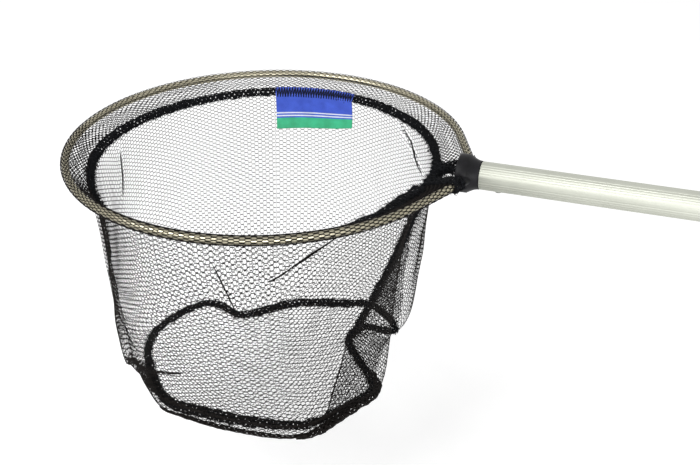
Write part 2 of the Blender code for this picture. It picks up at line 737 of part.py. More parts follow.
def main():
    clear_scene()
    net_black = material("black netting", (0.022, 0.022, 0.022), 0.8)
    thread_black = material("black seam thread", (0.012, 0.012, 0.013), 0.85)
    wire_gold = material("yellow passivated wire", (0.55, 0.43, 0.16), 0.35, 1.0)
    label_blue = material("blue woven label", (0.04, 0.08, 0.5), 0.7)
    moulded = material("black moulding", (0.03, 0.03, 0.032), 0.45)
    satin = material("satin aluminium", (0.78, 0.79, 0.75), 0.35, 1.0)
    rivet_metal = material("bright rivet", (0.7, 0.7, 0.7), 0.3, 1.0)
    lock_white = material("natural nylon", (0.75, 0.73, 0.66), 0.5)
    screw_zinc = material("zinc plated screw", (0.6, 0.6, 0.62), 0.35, 1.0)
    grip_rubber = material("black soft grip", (0.025, 0.025, 0.025), 0.75)

    hoop_centre = Vector((-GRIP_STATION, 0.0, 0.0))
    rear_section = empty("rear_section", (0.0, 0.0, 0.0))
    journal_axis = Vector((0.0, 0.0, JOURNAL_OFFSET))
    lock_section = empty("lock_section", journal_axis, rear_section)
    front_section = empty("front_section", (0.0, 0.0, 0.0), lock_section)
    rear_base = empty("rear_stations", hoop_centre, rear_section)
    lock_base = empty("lock_stations", hoop_centre - journal_axis, lock_section)
    front_base = empty("front_stations", hoop_centre - journal_axis, front_section)

    make_hoop(wire_gold, front_base)
    make_hem(net_black, front_base)
    make_hem_binding("hem_binding_back", 1, thread_black, front_base)
    make_hem_binding("hem_binding_front", -1, thread_black, front_base)
    make_rim_seam(thread_black, front_base)
    make_wall(net_black, front_base)
    make_side_seam(thread_black, front_base)
    make_base_seam(thread_black, front_base)
    make_base(net_black, front_base)
    make_label(label_blue, front_base)
    socket = make_socket(moulded, front_base)
    front_tube = make_front_tube(satin, front_base)
    make_rivet(rivet_metal, front_base, (socket, front_tube))
    make_lock_plug(lock_white, front_base)
    make_lock_screw(screw_zinc, front_base)
    make_lock_ring(lock_white, lock_base)
    make_rear_tube(satin, rear_base)
    make_collar(moulded, rear_base)
    make_grip(grip_rubber, rear_base)
    make_end_cap(moulded, rear_base)


main()
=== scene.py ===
"""Pond net: the looks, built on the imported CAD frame, piece by piece as the net is put together."""

import math

import bpy
import numpy as np
from mathutils import Matrix, Vector, noise


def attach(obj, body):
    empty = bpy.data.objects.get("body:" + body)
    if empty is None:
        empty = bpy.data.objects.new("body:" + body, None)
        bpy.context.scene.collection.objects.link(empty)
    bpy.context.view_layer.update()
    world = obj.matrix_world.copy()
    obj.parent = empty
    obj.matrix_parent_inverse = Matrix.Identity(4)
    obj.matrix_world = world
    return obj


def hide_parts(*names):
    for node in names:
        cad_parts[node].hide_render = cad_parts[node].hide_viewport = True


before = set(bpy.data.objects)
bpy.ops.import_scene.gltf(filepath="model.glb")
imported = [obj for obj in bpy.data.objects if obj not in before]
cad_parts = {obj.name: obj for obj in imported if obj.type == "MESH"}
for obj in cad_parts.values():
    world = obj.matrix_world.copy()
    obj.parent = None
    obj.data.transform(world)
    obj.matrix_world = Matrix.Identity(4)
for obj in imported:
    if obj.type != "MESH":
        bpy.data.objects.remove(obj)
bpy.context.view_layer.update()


# Hoop: one round steel wire of 6 mm, bent to a circle of 320 mm. It leaves the circle near the
# handle, runs straight towards it and turns into two tails that are moulded into the socket.
# Drawn steel with a yellow passivated zinc coat.

MM = 0.001
HOOP_CENTRE = np.array([-912.0, 0.0, 0.0])
HOOP_RADIUS = 160.0
WIRE_RADIUS = 3.0
THROAT = math.radians(24.0)
TAIL_Y = 5.6
TAIL_END = 203.0
TAIL_BEND = 9.0


def linear(code):
    """An sRGB hex colour as the linear values that a shader takes."""
    shares = [int(code[i:i + 2], 16) / 255.0 for i in (1, 3, 5)]
    return (*[s / 12.92 if s <= 0.04045 else ((s + 0.055) / 1.055) ** 2.4 for s in shares], 1.0)


def fill(tree, node, inputs):
    """Link a node's inputs to other nodes, or set them."""
    for socket, value in inputs.items():
        if isinstance(value, bpy.types.NodeSocket):
            tree.links.new(value, node.inputs[socket])
        else:
            node.inputs[socket].default_value = value


def add_node(tree, kind, inputs=None, out=0, **settings):
    """Add a node, set its properties, link or set its inputs, and give one of its outputs."""
    node = tree.nodes.new(kind)
    for name, value in settings.items():
        setattr(node, name, value)
    fill(tree, node, inputs or {})
    return node.outputs[out]


def new_material(name):
    material = bpy.data.materials.new(name)
    material.use_nodes = True
    return material, material.node_tree, material.node_tree.nodes["Principled BSDF"]


def two_tones(tone, dark, light, low=0.3, high=0.7):
    """Set the two ends of the colour ramp that gives a tone."""
    stops = tone.node.color_ramp.elements
    stops[0].position, stops[0].color = low, linear(dark)
    stops[1].position, stops[1].color = high, linear(light)
    return tone


def unit(rows):
    """Vectors brought to length one."""
    return rows / np.linalg.norm(rows, axis=1)[:, None]


def polar(angle, radius, z):
    return np.array((radius * math.cos(angle), radius * math.sin(angle), z))


def rod_reach(angle):
    """Distance of the wire from the hoop's centre, straight past the throat."""
    return HOOP_RADIUS / np.cos(np.maximum(0.0, THROAT - np.abs(angle)))


def piece(name, points, faces, material, flat=None):
    """A mesh piece from points in millimetres about the hoop's centre, with flat places as UV map."""
    mesh = bpy.data.meshes.new(name)
    mesh.from_pydata(((np.asarray(points) + HOOP_CENTRE) * MM).tolist(), [], faces)
    if flat is not None:
        corners = np.zeros(len(mesh.loops), np.int32)
        mesh.loops.foreach_get("vertex_index", corners)
        layer = mesh.uv_layers.new(name="flat")
        layer.data.foreach_set("uv", (np.asarray(flat)[corners] * MM).astype(np.float32).ravel())
    mesh.materials.append(material)
    mesh.shade_smooth()
    made = bpy.data.objects.new(name, mesh)
    bpy.context.scene.collection.objects.link(made)
    return made


def keep_all(made_pieces, node, body="front_section"):
    """Put pieces in place of a CAD node, on the body that carries them."""
    for made in made_pieces:
        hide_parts(node)
        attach(made, body)


def tube(path, radius, sides):
    """Points and faces of a closed round length along a path, a ring of points at each step."""
    path = np.asarray(path, float)
    along = unit(np.gradient(path, axis=0))
    side = np.cross(along, (0.0, 0.0, 1.0))
    side /= np.maximum(np.linalg.norm(side, axis=1), 1e-6)[:, None]
    up = np.cross(side, along)
    points, faces = [], []
    for centre, a, b in zip(path, side, up):
        for k in range(sides):
            turn = 2 * math.pi * (k + 0.25) / sides
            points.append(centre + radius * (a * math.cos(turn) + b * math.sin(turn)))
    for i in range(len(path) - 1):
        for k in range(sides):
            m = (k + 1) % sides
            faces.append((i * sides + k, (i + 1) * sides + k, (i + 1) * sides + m, i * sides + m))
    faces.append(tuple(range(sides)))
    faces.append(tuple((len(path) - 1) * sides + k for k in reversed(range(sides))))
    return points, faces


def run_along(path):
    """Length from the start of a path to each of its points."""
    return np.concatenate([[0.0], np.cumsum(np.linalg.norm(np.diff(path, axis=0), axis=1))])


wire_coat, tree, shader = new_material("yellow passivated steel wire")
# Drawing leaves fine streaks along the wire, 0.4 mm apart, and the coat's yellow comes and goes.
place = add_node(tree, "ShaderNodeUVMap", uv_map="flat")
drawn = add_node(tree, "ShaderNodeMapping", {"Vector": place, "Scale": (25.0, 2500.0, 1.0)})
streaks = add_node(tree, "ShaderNodeTexNoise", {"Vector": drawn, "Scale": 1.0, "Detail": 3.0})
tone = add_node(tree, "ShaderNodeValToRGB", {"Fac": streaks})
gloss = add_node(tree, "ShaderNodeMapRange", {"Value": streaks, "To Min": 0.22, "To Max": 0.38})
bump = add_node(tree, "ShaderNodeBump", {"Height": streaks, "Strength": 0.15, "Distance": 0.0002})
fill(tree, shader, {"Base Color": two_tones(tone, "#a09a83", "#d8d1b9"), "Roughness": gloss,
                    "Normal": bump, "Metallic": 1.0})

WIRE_SIDES, BEND_STEPS, CIRCLE_STEPS = 18, 12, 96
corner = (HOOP_RADIUS - TAIL_Y * math.sin(THROAT)) / math.cos(THROAT)
bend_turn = math.pi / 2 - THROAT
tail_start = corner + TAIL_BEND * math.tan(bend_turn / 2)
half = [(TAIL_END, TAIL_Y, 0.0), (tail_start + 4.0, TAIL_Y, 0.0)]
for i in range(BEND_STEPS + 1):
    turn = -math.pi / 2 - bend_turn * i / BEND_STEPS
    half.append((tail_start + TAIL_BEND * math.cos(turn), TAIL_Y + TAIL_BEND * (1 + math.sin(turn)), 0.0))
for angle in np.linspace(THROAT, math.pi, CIRCLE_STEPS + 1):
    half.append((HOOP_RADIUS * math.cos(angle), HOOP_RADIUS * math.sin(angle), 0.0))
wire_path = np.array(half + [(x, -y, z) for x, y, z in reversed(half[:-1])])
points, faces = tube(wire_path, WIRE_RADIUS, WIRE_SIDES)
# The flat map's second half runs back, so that it meets the first without a seam.
girths = [WIRE_RADIUS * abs(math.pi - 2 * math.pi * (k + 0.25) / WIRE_SIDES) for k in range(WIRE_SIDES)]
wire_flat = [(run, girth) for run in run_along(wire_path) for girth in girths]
keep_all([piece("hoop_wire", points, faces, wire_coat, wire_flat)], "hoop_rod")


# Hem: a strip of the bag's own netting, folded over the wire so that two layers lie between the
# wire and the rim seam. Knitted from black nylon yarn: each cell is a hexagon with a short doubled
# stitch at its top and bottom and single yarns down its sides.

HEM_FROM = math.radians(6.4)
# The strip clears the wire by a little, its two layers lie apart at the seam, and it reaches into it.
HEM_CLEAR, HEM_APART, HEM_TUCK = 0.75, 0.5, 1.5
RIM_RADIUS = 140.0
RIM_WIDTH = 7.5
SLANT = math.sqrt(0.5)
# The rim seam hangs unevenly inside the hoop: angle, distance from the hoop's centre, depth below it.
RIM_LINE = (
    (0, 140.0, 8.0), (20, 138.5, 9.0), (40, 138.5, 9.0), (60, 139.0, 9.0), (80, 140.0, 9.0),
    (94, 140.0, 9.0), (108, 139.0, 9.0), (124, 136.5, 9.0), (140, 135.0, 9.0), (160, 135.5, 9.0),
    (180, 138.5, 9.0), (196, 140.5, 9.3), (210, 141.5, 10.5), (222, 143.0, 12.5), (230, 144.5, 14.5),
    (240, 146.5, 13.5), (252, 146.0, 11.2), (265, 144.5, 10.0), (280, 143.0, 9.8), (300, 142.5, 9.8),
    (310, 142.5, 10.0), (322, 143.0, 10.0), (331, 142.7, 8.0), (339, 142.0, 6.0), (348, 141.0, 6.5))


def around(rows, smooth):
    """A smooth function of the angle in degrees through rows of (angle, values)."""
    rows = np.array(rows, float)
    step = 0.5
    turns = np.arange(-180, 180, step)
    kernel = np.hanning(int(smooth / step) * 2 + 1)
    kernel /= kernel.sum()
    reach = len(kernel) // 2
    columns = []
    for c in range(1, rows.shape[1]):
        values = np.interp(turns, rows[:, 0], rows[:, c], period=360)
        columns.append(np.convolve(np.r_[values[-reach:], values, values[:reach]], kernel, "valid"))
    return lambda degrees: np.array([np.interp(degrees, turns, v, period=360) for v in columns])


rim_line = around(RIM_LINE, 14.0)


def cell(name, lengths):
    """An object of several lengths of yarn: one repeat of a knitted or sewn pattern, in metres."""
    verts, faces = [], []
    for points, radius in lengths:
        more, around_it = tube([(*p, 0.0)[:3] for p in points], radius, 3)
        faces += [tuple(len(verts) + v for v in face) for face in around_it]
        verts += more
    mesh = bpy.data.meshes.new(name)
    mesh.from_pydata((np.array(verts) * MM).tolist(), [], faces)
    return bpy.data.objects.new(name, mesh)


def knitted_cell(name, spacing, pitch, yarn):
    """A doubled stitch and the two yarns from its end to the next column's stitches."""
    reach = spacing / 3
    return cell(name, [
        (((-reach, 0.7 * yarn), (reach, 0.7 * yarn)), 1.15 * yarn),
        (((-reach, -0.7 * yarn), (reach, -0.7 * yarn)), 1.15 * yarn),
        (((reach, 0.0), (2 * reach, pitch / 2)), yarn),
        (((reach, 0.0), (2 * reach, -pitch / 2)), yarn),
    ])


# The tree lays repeats of a cell out flat, in staggered columns, lets them wander a little, and
# then takes every point to the cloth's surface by the cloth's flat map.
laid = bpy.data.node_groups.new("pattern laid on cloth", "GeometryNodeTree")
laid_inputs = {}
for input_name, kind in (("Cloth", "Geometry"), ("Cell", "Object"), ("Yarn", "Material"), ("Columns", "Int"),
                         ("Rows", "Int"), ("Spacing", "Float"), ("Pitch", "Float"), ("Stagger", "Float"),
                         ("First", "Vector"), ("Low", "Vector"), ("High", "Vector"), ("Margin", "Float"),
                         ("Wander", "Float"), ("Wander Size", "Float"), ("Seed", "Float")):
    made = laid.interface.new_socket(name=input_name, in_out="INPUT", socket_type="NodeSocket" + kind)
    laid_inputs[input_name] = made.identifier
laid.interface.new_socket(name="Laid", in_out="OUTPUT", socket_type="NodeSocketGeometry")
given = add_node(laid, "NodeGroupInput").node.outputs
scalar, vector, sample = "ShaderNodeMath", "ShaderNodeVectorMath", "GeometryNodeSampleUVSurface"


def within(spot):
    """A flat place brought back between the cloth's low and high limits."""
    spot = add_node(laid, vector, {0: spot, 1: given["Low"]}, operation="MAXIMUM")
    return add_node(laid, vector, {0: spot, 1: given["High"]}, operation="MINIMUM")


index = add_node(laid, "GeometryNodeInputIndex")
column = add_node(laid, scalar, {0: index, 1: given["Columns"]}, operation="MODULO")
row_share = add_node(laid, scalar, {0: index, 1: given["Columns"]}, operation="DIVIDE")
row = add_node(laid, scalar, {0: row_share}, operation="FLOOR")
odd = add_node(laid, scalar, {0: column, 1: 2.0}, operation="MODULO")
raised = add_node(laid, scalar, {0: odd, 1: given["Stagger"], 2: row}, operation="MULTIPLY_ADD")
place_x = add_node(laid, scalar, {0: column, 1: given["Spacing"]}, operation="MULTIPLY")
place_y = add_node(laid, scalar, {0: raised, 1: given["Pitch"]}, operation="MULTIPLY")
spot = add_node(laid, "ShaderNodeCombineXYZ", {"X": place_x, "Y": place_y})
spot = add_node(laid, vector, {0: spot, 1: given["First"]}, operation="ADD")
count = add_node(laid, scalar, {0: given["Columns"], 1: given["Rows"]}, operation="MULTIPLY")
spots = add_node(laid, "GeometryNodePoints", {"Count": count, "Position": spot})
where = add_node(laid, "GeometryNodeInputPosition")
named = "GeometryNodeInputNamedAttribute"
flat_map = add_node(laid, named, {"Name": "flat"}, data_type="FLOAT_VECTOR")
middle = add_node(laid, named, {"Name": "middle"}, data_type="FLOAT_VECTOR")
on_map = {"Mesh": given["Cloth"], 2: flat_map}
away = add_node(laid, vector, {0: where}, operation="NORMALIZE")
away = add_node(laid, vector, {0: away, "Scale": given["Margin"]}, operation="SCALE")
reach = within(add_node(laid, vector, {0: where, 1: away}, operation="ADD"))
on_it = add_node(laid, sample, {**on_map, "Sample UV": reach}, out="Is Valid", data_type="FLOAT_VECTOR")
off_it = add_node(laid, "FunctionNodeBooleanMath", {0: on_it}, operation="NOT")
kept = add_node(laid, "GeometryNodeDeleteGeometry", {"Geometry": spots, "Selection": off_it}, domain="POINT")
shape = add_node(laid, "GeometryNodeObjectInfo", {"Object": given["Cell"]}, "Geometry")
stored = {"Geometry": kept, "Name": "middle", "Value": where}
middles = add_node(laid, "GeometryNodeStoreNamedAttribute", stored, data_type="FLOAT_VECTOR", domain="POINT")
repeats = add_node(laid, "GeometryNodeInstanceOnPoints", {"Points": middles, "Instance": shape})
yarns = add_node(laid, "GeometryNodeRealizeInstances", {"Geometry": repeats})
shifted = add_node(laid, vector, {0: where, 1: given["Seed"]}, operation="ADD")
fineness = add_node(laid, scalar, {0: 1.0, 1: given["Wander Size"]}, operation="DIVIDE")
drift = add_node(laid, "ShaderNodeTexNoise", {"Vector": shifted, "Scale": fineness, "Detail": 2.0}, "Color")
drift = add_node(laid, vector, {0: drift, 1: (0.5, 0.5, 0.5)}, operation="SUBTRACT")
drift = add_node(laid, vector, {0: drift, 1: (2.0, 2.0, 0.0)}, operation="MULTIPLY")
drift = add_node(laid, vector, {0: drift, "Scale": given["Wander"]}, operation="SCALE")
inside = within(add_node(laid, vector, {0: where, 1: drift}, operation="ADD"))
# A point of a cell that would fall off the cloth goes back to the cell's own middle.
found = add_node(laid, sample, {**on_map, "Sample UV": inside}, out="Is Valid", data_type="FLOAT_VECTOR")
inside = add_node(laid, "GeometryNodeSwitch", {"Switch": found, "False": within(middle), "True": inside},
                  input_type="VECTOR")
outward = add_node(laid, "GeometryNodeInputNormal")
on_cloth, off_cloth = (add_node(laid, sample, {**on_map, "Value": value, "Sample UV": inside},
                                data_type="FLOAT_VECTOR") for value in (where, outward))
off_cloth = add_node(laid, vector, {0: off_cloth}, operation="NORMALIZE")
height = add_node(laid, "ShaderNodeSeparateXYZ", {0: where}, "Z")
lifted = add_node(laid, vector, {0: off_cloth, "Scale": height}, operation="SCALE")
final = add_node(laid, vector, {0: on_cloth, 1: lifted}, operation="ADD")
wrapped = add_node(laid, "GeometryNodeSetPosition", {"Geometry": yarns, "Position": final})
rounded = add_node(laid, "GeometryNodeSetShadeSmooth", {0: wrapped})
plain = add_node(laid, "GeometryNodeRemoveAttribute", {"Geometry": rounded, "Name": "middle"})
coloured = add_node(laid, "GeometryNodeSetMaterial", {"Geometry": plain, "Material": given["Yarn"]})
fill(laid, laid.nodes.new("NodeGroupOutput"), {0: coloured})


def lay(name, cloth, repeat, material, columns, rows, spacing, pitch, low, high, first=(0.0, 0.0),
        stagger=0.5, margin=0.0, wander=0.35, wander_size=9.0, seed=0.0):
    """Run the tree on a cloth surface and keep what it makes as a mesh piece; lengths in millimetres."""
    modifier = cloth.modifiers.new(name, "NODES")
    modifier.node_group = laid
    values = {"Cell": repeat, "Yarn": material, "Columns": columns, "Rows": rows, "Spacing": spacing * MM,
              "Pitch": pitch * MM, "Stagger": stagger, "First": (first[0] * MM, first[1] * MM, 0.0),
              "Low": (low[0] * MM, low[1] * MM, -1.0), "High": (high[0] * MM, high[1] * MM, 1.0),
              "Margin": margin * MM, "Wander": wander * MM, "Wander Size": wander_size * MM, "Seed": seed}
    for input_name, value in values.items():
        modifier[laid_inputs[input_name]] = value
    graph = bpy.context.evaluated_depsgraph_get()
    mesh = bpy.data.meshes.new_from_object(cloth.evaluated_get(graph), depsgraph=graph)
    cloth.modifiers.remove(modifier)
    mesh.name = name
    made = bpy.data.objects.new(name, mesh)
    bpy.context.scene.collection.objects.link(made)
    return made


def put_away(*used):
    """Remove the working surfaces and cells once their pieces are made."""
    for item in used:
        bpy.data.objects.remove(item)


def surface(name, points, flat, material):
    """A working surface: points (columns, rows, 3) and their flat places (columns, rows, 2)."""
    columns, rows = points.shape[:2]
    faces = [(i * rows + j, (i + 1) * rows + j, (i + 1) * rows + j + 1, i * rows + j + 1)
             for i in range(columns - 1) for j in range(rows - 1)]
    return piece(name, points.reshape(-1, 3), faces, material, flat.reshape(-1, 2))


yarn_black, tree, shader = new_material("black knitted nylon yarn")
# Spun nylon: a nearly neutral black, dull because of its loose fibres. Their twist is far too fine to
# show, so the tone varies over 3 mm, about one cell.
spot_in = add_node(tree, "ShaderNodeTexCoord", out="Object")
mottle = add_node(tree, "ShaderNodeTexNoise", {"Vector": spot_in, "Scale": 330.0, "Detail": 2.0})
tone = add_node(tree, "ShaderNodeValToRGB", {"Fac": mottle})
fill(tree, shader, {"Base Color": two_tones(tone, "#12100f", "#211d1b"), "Roughness": 0.7,
                    "Specular IOR Level": 0.12})
# Yarn is kept this far inside the edge of its cloth.
EDGE_GAP = 0.1


def netting(name, cloth, knit, counts, cells, high, flat, node, held, rests_on,
            low=(EDGE_GAP, EDGE_GAP), **how):
    """Lay knitted netting on a cloth surface in place of a CAD node."""
    spacing, pitch, yarn = knit
    repeat = knitted_cell(name + "_cell", spacing, pitch, yarn)
    made = lay(name, cloth, repeat, yarn_black, *counts, spacing, pitch, low, high, **how)
    put_away(repeat)
    keep_all([made], node)


def hem_section(angle):
    """The folded strip's line at an angle round the hoop, from the seam over the wire and back."""
    steps = 12
    fold = WIRE_RADIUS + HEM_CLEAR
    reach = float(rod_reach(angle))
    seam_r, seam_drop = rim_line(math.degrees(angle))
    seam_r += SLANT * RIM_WIDTH / 2
    seam_z = SLANT * RIM_WIDTH / 2 - seam_drop
    slope = math.atan2(-seam_z, reach - seam_r)
    span = math.hypot(seam_z, reach - seam_r) + HEM_TUCK
    lean = math.asin((fold - HEM_APART) / span)
    there, over, back = [], [], []
    for i in range(steps + 1):
        turn = math.pi / 2 + lean - (math.pi + 2 * lean) * i / steps
        over.append((fold * math.cos(turn), fold * math.sin(turn)))
    for i in range(steps):
        share = i / steps
        there.append((-span * (1 - share), HEM_APART + (fold * math.cos(lean) - HEM_APART) * share))
        share = 1 - (i + 1) / steps
        back.append((-span * (1 - share), -HEM_APART - (fold * math.cos(lean) - HEM_APART) * share))
    line = np.array(there + over + back)
    r = reach + line[:, 0] * math.cos(slope) - line[:, 1] * math.sin(slope)
    z = line[:, 0] * math.sin(slope) + line[:, 1] * math.cos(slope)
    return np.stack([r * math.cos(angle), r * math.sin(angle), z], 1)


HEM_LENGTH = 960.0
HEM_WIDTH = 57.0
HEM_SPACING, HEM_PITCH = 3.4, 2.95
# The mean share of the strip's width that shows. The rest is taken up in the rim seam.
HEM_TAKEN = 0.88
angles = np.linspace(HEM_FROM, 2 * math.pi - HEM_FROM, 361)
hem_points = np.array([hem_section(a if a <= math.pi else a - 2 * math.pi) for a in angles])
steps = np.linalg.norm(np.diff(hem_points, axis=1), axis=2)
run = np.concatenate([np.zeros((len(angles), 1)), np.cumsum(steps, axis=1)], axis=1)
# The strip is eased in unevenly: in front its cells are drawn wider along the wire and lie lower than
# at the back, and beside the socket, about 325 degrees round, they open up again.
eased = angles - 0.13 * np.cos(angles)
eased = HEM_LENGTH * (eased - eased[0]) / (eased[-1] - eased[0])
opened = np.exp(-((np.degrees(angles) - 325.0) / 35.0) ** 2)
narrowed = (HEM_TAKEN - 0.12 * np.sin(angles) - 0.15 * opened)[:, None]
hem_flat = np.stack([np.broadcast_to(eased[:, None], run.shape),
                     HEM_WIDTH * (0.5 + (run / run[:, -1:] - 0.5) * narrowed)], -1)
hem_cloth = surface("hem_cloth", hem_points, hem_flat, yarn_black)
hem_rows = int(HEM_WIDTH / HEM_PITCH)
# Each length's start and end as shares of the way round, and its yarn's radius: round the back the
# yarn is drawn thin, and along the front it is full.
HEM_LENGTHS = ((0.0, 0.13, 0.196), (0.13, 0.39, 0.165), (0.39, 0.48, 0.2), (0.48, 0.56, 0.22),
               (0.56, 0.72, 0.29), (0.72, 0.88, 0.3), (0.88, 1.0, 0.3))
for number, (start, end, yarn) in enumerate(HEM_LENGTHS):
    first_column = 2 * round(start * HEM_LENGTH / HEM_SPACING / 2)
    columns = 2 * round(end * HEM_LENGTH / HEM_SPACING / 2) - first_column
    netting("hem_netting_%d" % (number + 1), hem_cloth, (HEM_SPACING, HEM_PITCH, yarn), (columns, hem_rows),
            HEM_TAKEN * columns * hem_rows, (HEM_LENGTH - EDGE_GAP, HEM_WIDTH - EDGE_GAP),
            (columns * HEM_SPACING, HEM_WIDTH), "net_hem", "folded", ["hoop_wire"],
            first=(first_column * HEM_SPACING + 2.0, 1.0), wander=0.22, seed=3.0)
put_away(hem_cloth)


# Rim seam: hem, bag wall and a turned-in edge overlocked together into one dense band, 7.5 mm
# wide, that stands at a slant. Black polyester thread over several layers of crushed netting, so
# a few pinholes still let light through.

RIM_THICK = 2.2
DENSE_SPACING, DENSE_PITCH, DENSE_YARN = 2.25, 2.15, 0.46
# Cells are stretched round a seam: its flat girth over the sum of its half width and half thickness.
STRETCHED_GIRTH = 1.8
# Lumps to a millimetre, the coarse ones and the fine ones, and how high the fine ones are beside them.
COARSE_LUMPS, FINE_LUMPS, FINE_SHARE = 0.16, 0.5, 0.6
LOOP_SPACING, LOOP_YARN = 2.6, 0.3
HAIR_SPACING, HAIR_PITCH = 4.1, 2.7

thread_black, tree, shader = new_material("black overlocked polyester thread")
# Crushed yarn under spun thread: neutral black, matt, with tufts about 2 mm across.
spot_in = add_node(tree, "ShaderNodeTexCoord", out="Object")
tufts = add_node(tree, "ShaderNodeTexNoise", {"Vector": spot_in, "Scale": 500.0, "Detail": 3.0})
tone = add_node(tree, "ShaderNodeValToRGB", {"Fac": tufts})
fill(tree, shader, {"Base Color": two_tones(tone, "#090a0c", "#181a1e"), "Roughness": 0.8,
                    "Specular IOR Level": 0.15})


def seam_tube(path, across, up, half_width, half_thick, lumps, sides=14):
    """Points and flat places of a soft, uneven tube round a path: a seam's outer skin."""
    path = np.asarray(path, float)
    run = run_along(path)
    girth = STRETCHED_GIRTH * float(np.mean(half_width) + np.mean(half_thick))
    wide = np.broadcast_to(half_width, len(path))
    thick = np.broadcast_to(half_thick, len(path))
    points = np.zeros((len(path), sides + 1, 3))
    flat = np.zeros((len(path), sides + 1, 2))
    for i, (centre, a, b) in enumerate(zip(path, across, up)):
        for k in range(sides + 1):
            turn = 2 * math.pi * (k % sides) / sides
            where = centre + a * wide[i] * math.cos(turn) + b * thick[i] * math.sin(turn)
            swell = 1.0 + lumps * noise.noise(Vector(where * COARSE_LUMPS))
            swell += FINE_SHARE * lumps * noise.noise(Vector(where * FINE_LUMPS))
            points[i, k] = centre + (where - centre) * swell
            flat[i, k] = (run[i], girth * k / sides)
    return points, flat, run[-1], girth


def skin_limits(length, girth):
    """The flat places between which yarn stays on a seam's skin."""
    return (EDGE_GAP, EDGE_GAP / 2), (length - EDGE_GAP, girth - EDGE_GAP / 2)


def seam(name, skin, node, seed):
    """A seam in three pieces: its skin of crushed netting, its overlock thread, its loose fibre ends."""
    points, flat, length, girth = skin
    cloth = surface(name + "_skin", points, flat, thread_black)
    dense = knitted_cell(name + "_dense", DENSE_SPACING, DENSE_PITCH, DENSE_YARN)
    halves = (((0.0, 0.04, 0.35), (0.7, 0.18, 0.6), (1.3, 0.32, 0.6), (1.9, 0.46, 0.35)),
              ((1.9, 0.54, 0.35), (1.4, 0.68, 0.6), (0.9, 0.82, 0.6), (0.3, 0.96, 0.35)))
    halves = [[(x, share * girth, z) for x, share, z in half] for half in halves]
    loop = cell(name + "_loop", [(half, LOOP_YARN) for half in halves])
    hair = cell(name + "_hair", [
        (((0.0, 0.0, 0.0), (0.5, 0.3, 1.0), (1.4, 0.2, 1.6)), 0.16),
        (((2.2, 1.3, 0.0), (1.9, 1.7, 0.9), (1.2, 2.4, 2.0)), 0.15),
        (((3.0, 0.6, 0.0), (3.3, 0.2, 0.8), (3.2, -0.5, 1.6)), 0.16),
        (((1.2, 0.8, 0.0), (1.3, 0.9, 0.9), (1.0, 1.4, 2.4)), 0.15),
    ])
    low, high = skin_limits(length, girth)
    rows = int(round(girth / DENSE_PITCH))
    keep_all([
        lay(name, cloth, dense, thread_black, int(length / DENSE_SPACING), rows, DENSE_SPACING, girth / rows,
            low, high, first=(0.8, 0.4), wander=0.8, wander_size=5.0, seed=seed),
        lay(name + "_loops", cloth, loop, thread_black, int(length / LOOP_SPACING), 1, LOOP_SPACING, girth,
            low, high, stagger=0.0, wander=0.4, wander_size=6.0, seed=seed + 1.0),
        lay(name + "_hairs", cloth, hair, thread_black, int(length / HAIR_SPACING), int(girth / HAIR_PITCH),
            HAIR_SPACING, HAIR_PITCH, low, high, wander=1.5, wander_size=4.0, seed=seed + 2.0),
    ], node)
    put_away(cloth, dense, loop, hair)


angles = np.linspace(0, 2 * math.pi, 481)
out = np.stack([np.cos(angles), np.sin(angles), 0 * angles], 1)
straight_up = np.array([0.0, 0.0, 1.0])
rim_reach, rim_drop = rim_line(np.degrees(angles))[:, :, None]
rim_path = out * rim_reach - straight_up * rim_drop
rim_skin = seam_tube(rim_path, SLANT * (out + straight_up), SLANT * (straight_up - out),
                     RIM_WIDTH / 2, RIM_THICK / 2, 0.3)
seam("rim_seam_band", rim_skin, "rim_seam", 11.0)


# Bag wall: a straight strip of netting, 880 mm round and about 215 mm deep, joined by a side seam.
# It hangs slack from the rim seam, bellies out a little and folds under to the base seam. Towards
# the handle it is drawn tight, and its base edge is caught up in a double fold.

# The base seam's loop as it lies in the photograph: the angle of the wall's line that ends there,
# then x, y and z about the hoop's centre.
BASE_LOOP = (
    (-172, -116, -13, -201), (-159, -107, -42, -199), (-147, -91, -66, -199), (-135, -75, -86, -200),
    (-125, -60, -99, -201), (-117, -49, -103, -202), (-110, -34, -103, -202), (-103, -20, -104, -202),
    (-95, -1, -103, -203), (-87, 18, -100, -204), (-79, 35, -97, -205), (-72, 50, -94, -205),
    (-64, 65, -89, -204), (-56, 75, -79, -203), (-49, 85, -64, -202), (-43, 93, -51, -201),
    (-37, 101, -39, -201), (-32, 102, -26, -201), (-27, 96, -15, -201), (-22, 83, 1, -202),
    (-17, 70, 16, -203), (-12, 59, 30, -204), (-7, 55, 42, -204), (-1, 58, 56, -203), (6, 66, 60, -201),
    (14, 78, 56, -199), (22, 90, 53, -197), (31, 99, 53, -195), (38, 87, 69, -195), (45, 75, 82, -196),
    (53, 61, 92, -198), (62, 48, 95, -200), (73, 27, 96, -206), (84, 7, 95, -208), (96, -12, 90, -209),
    (106, -29, 80, -210), (117, -42, 67, -211), (126, -52, 59, -212), (133, -61, 55, -212),
    (139, -69, 54, -209), (146, -79, 53, -203), (153, -90, 47, -199), (160, -99, 39, -200),
    (168, -109, 26, -202), (177, -114, 7, -202))
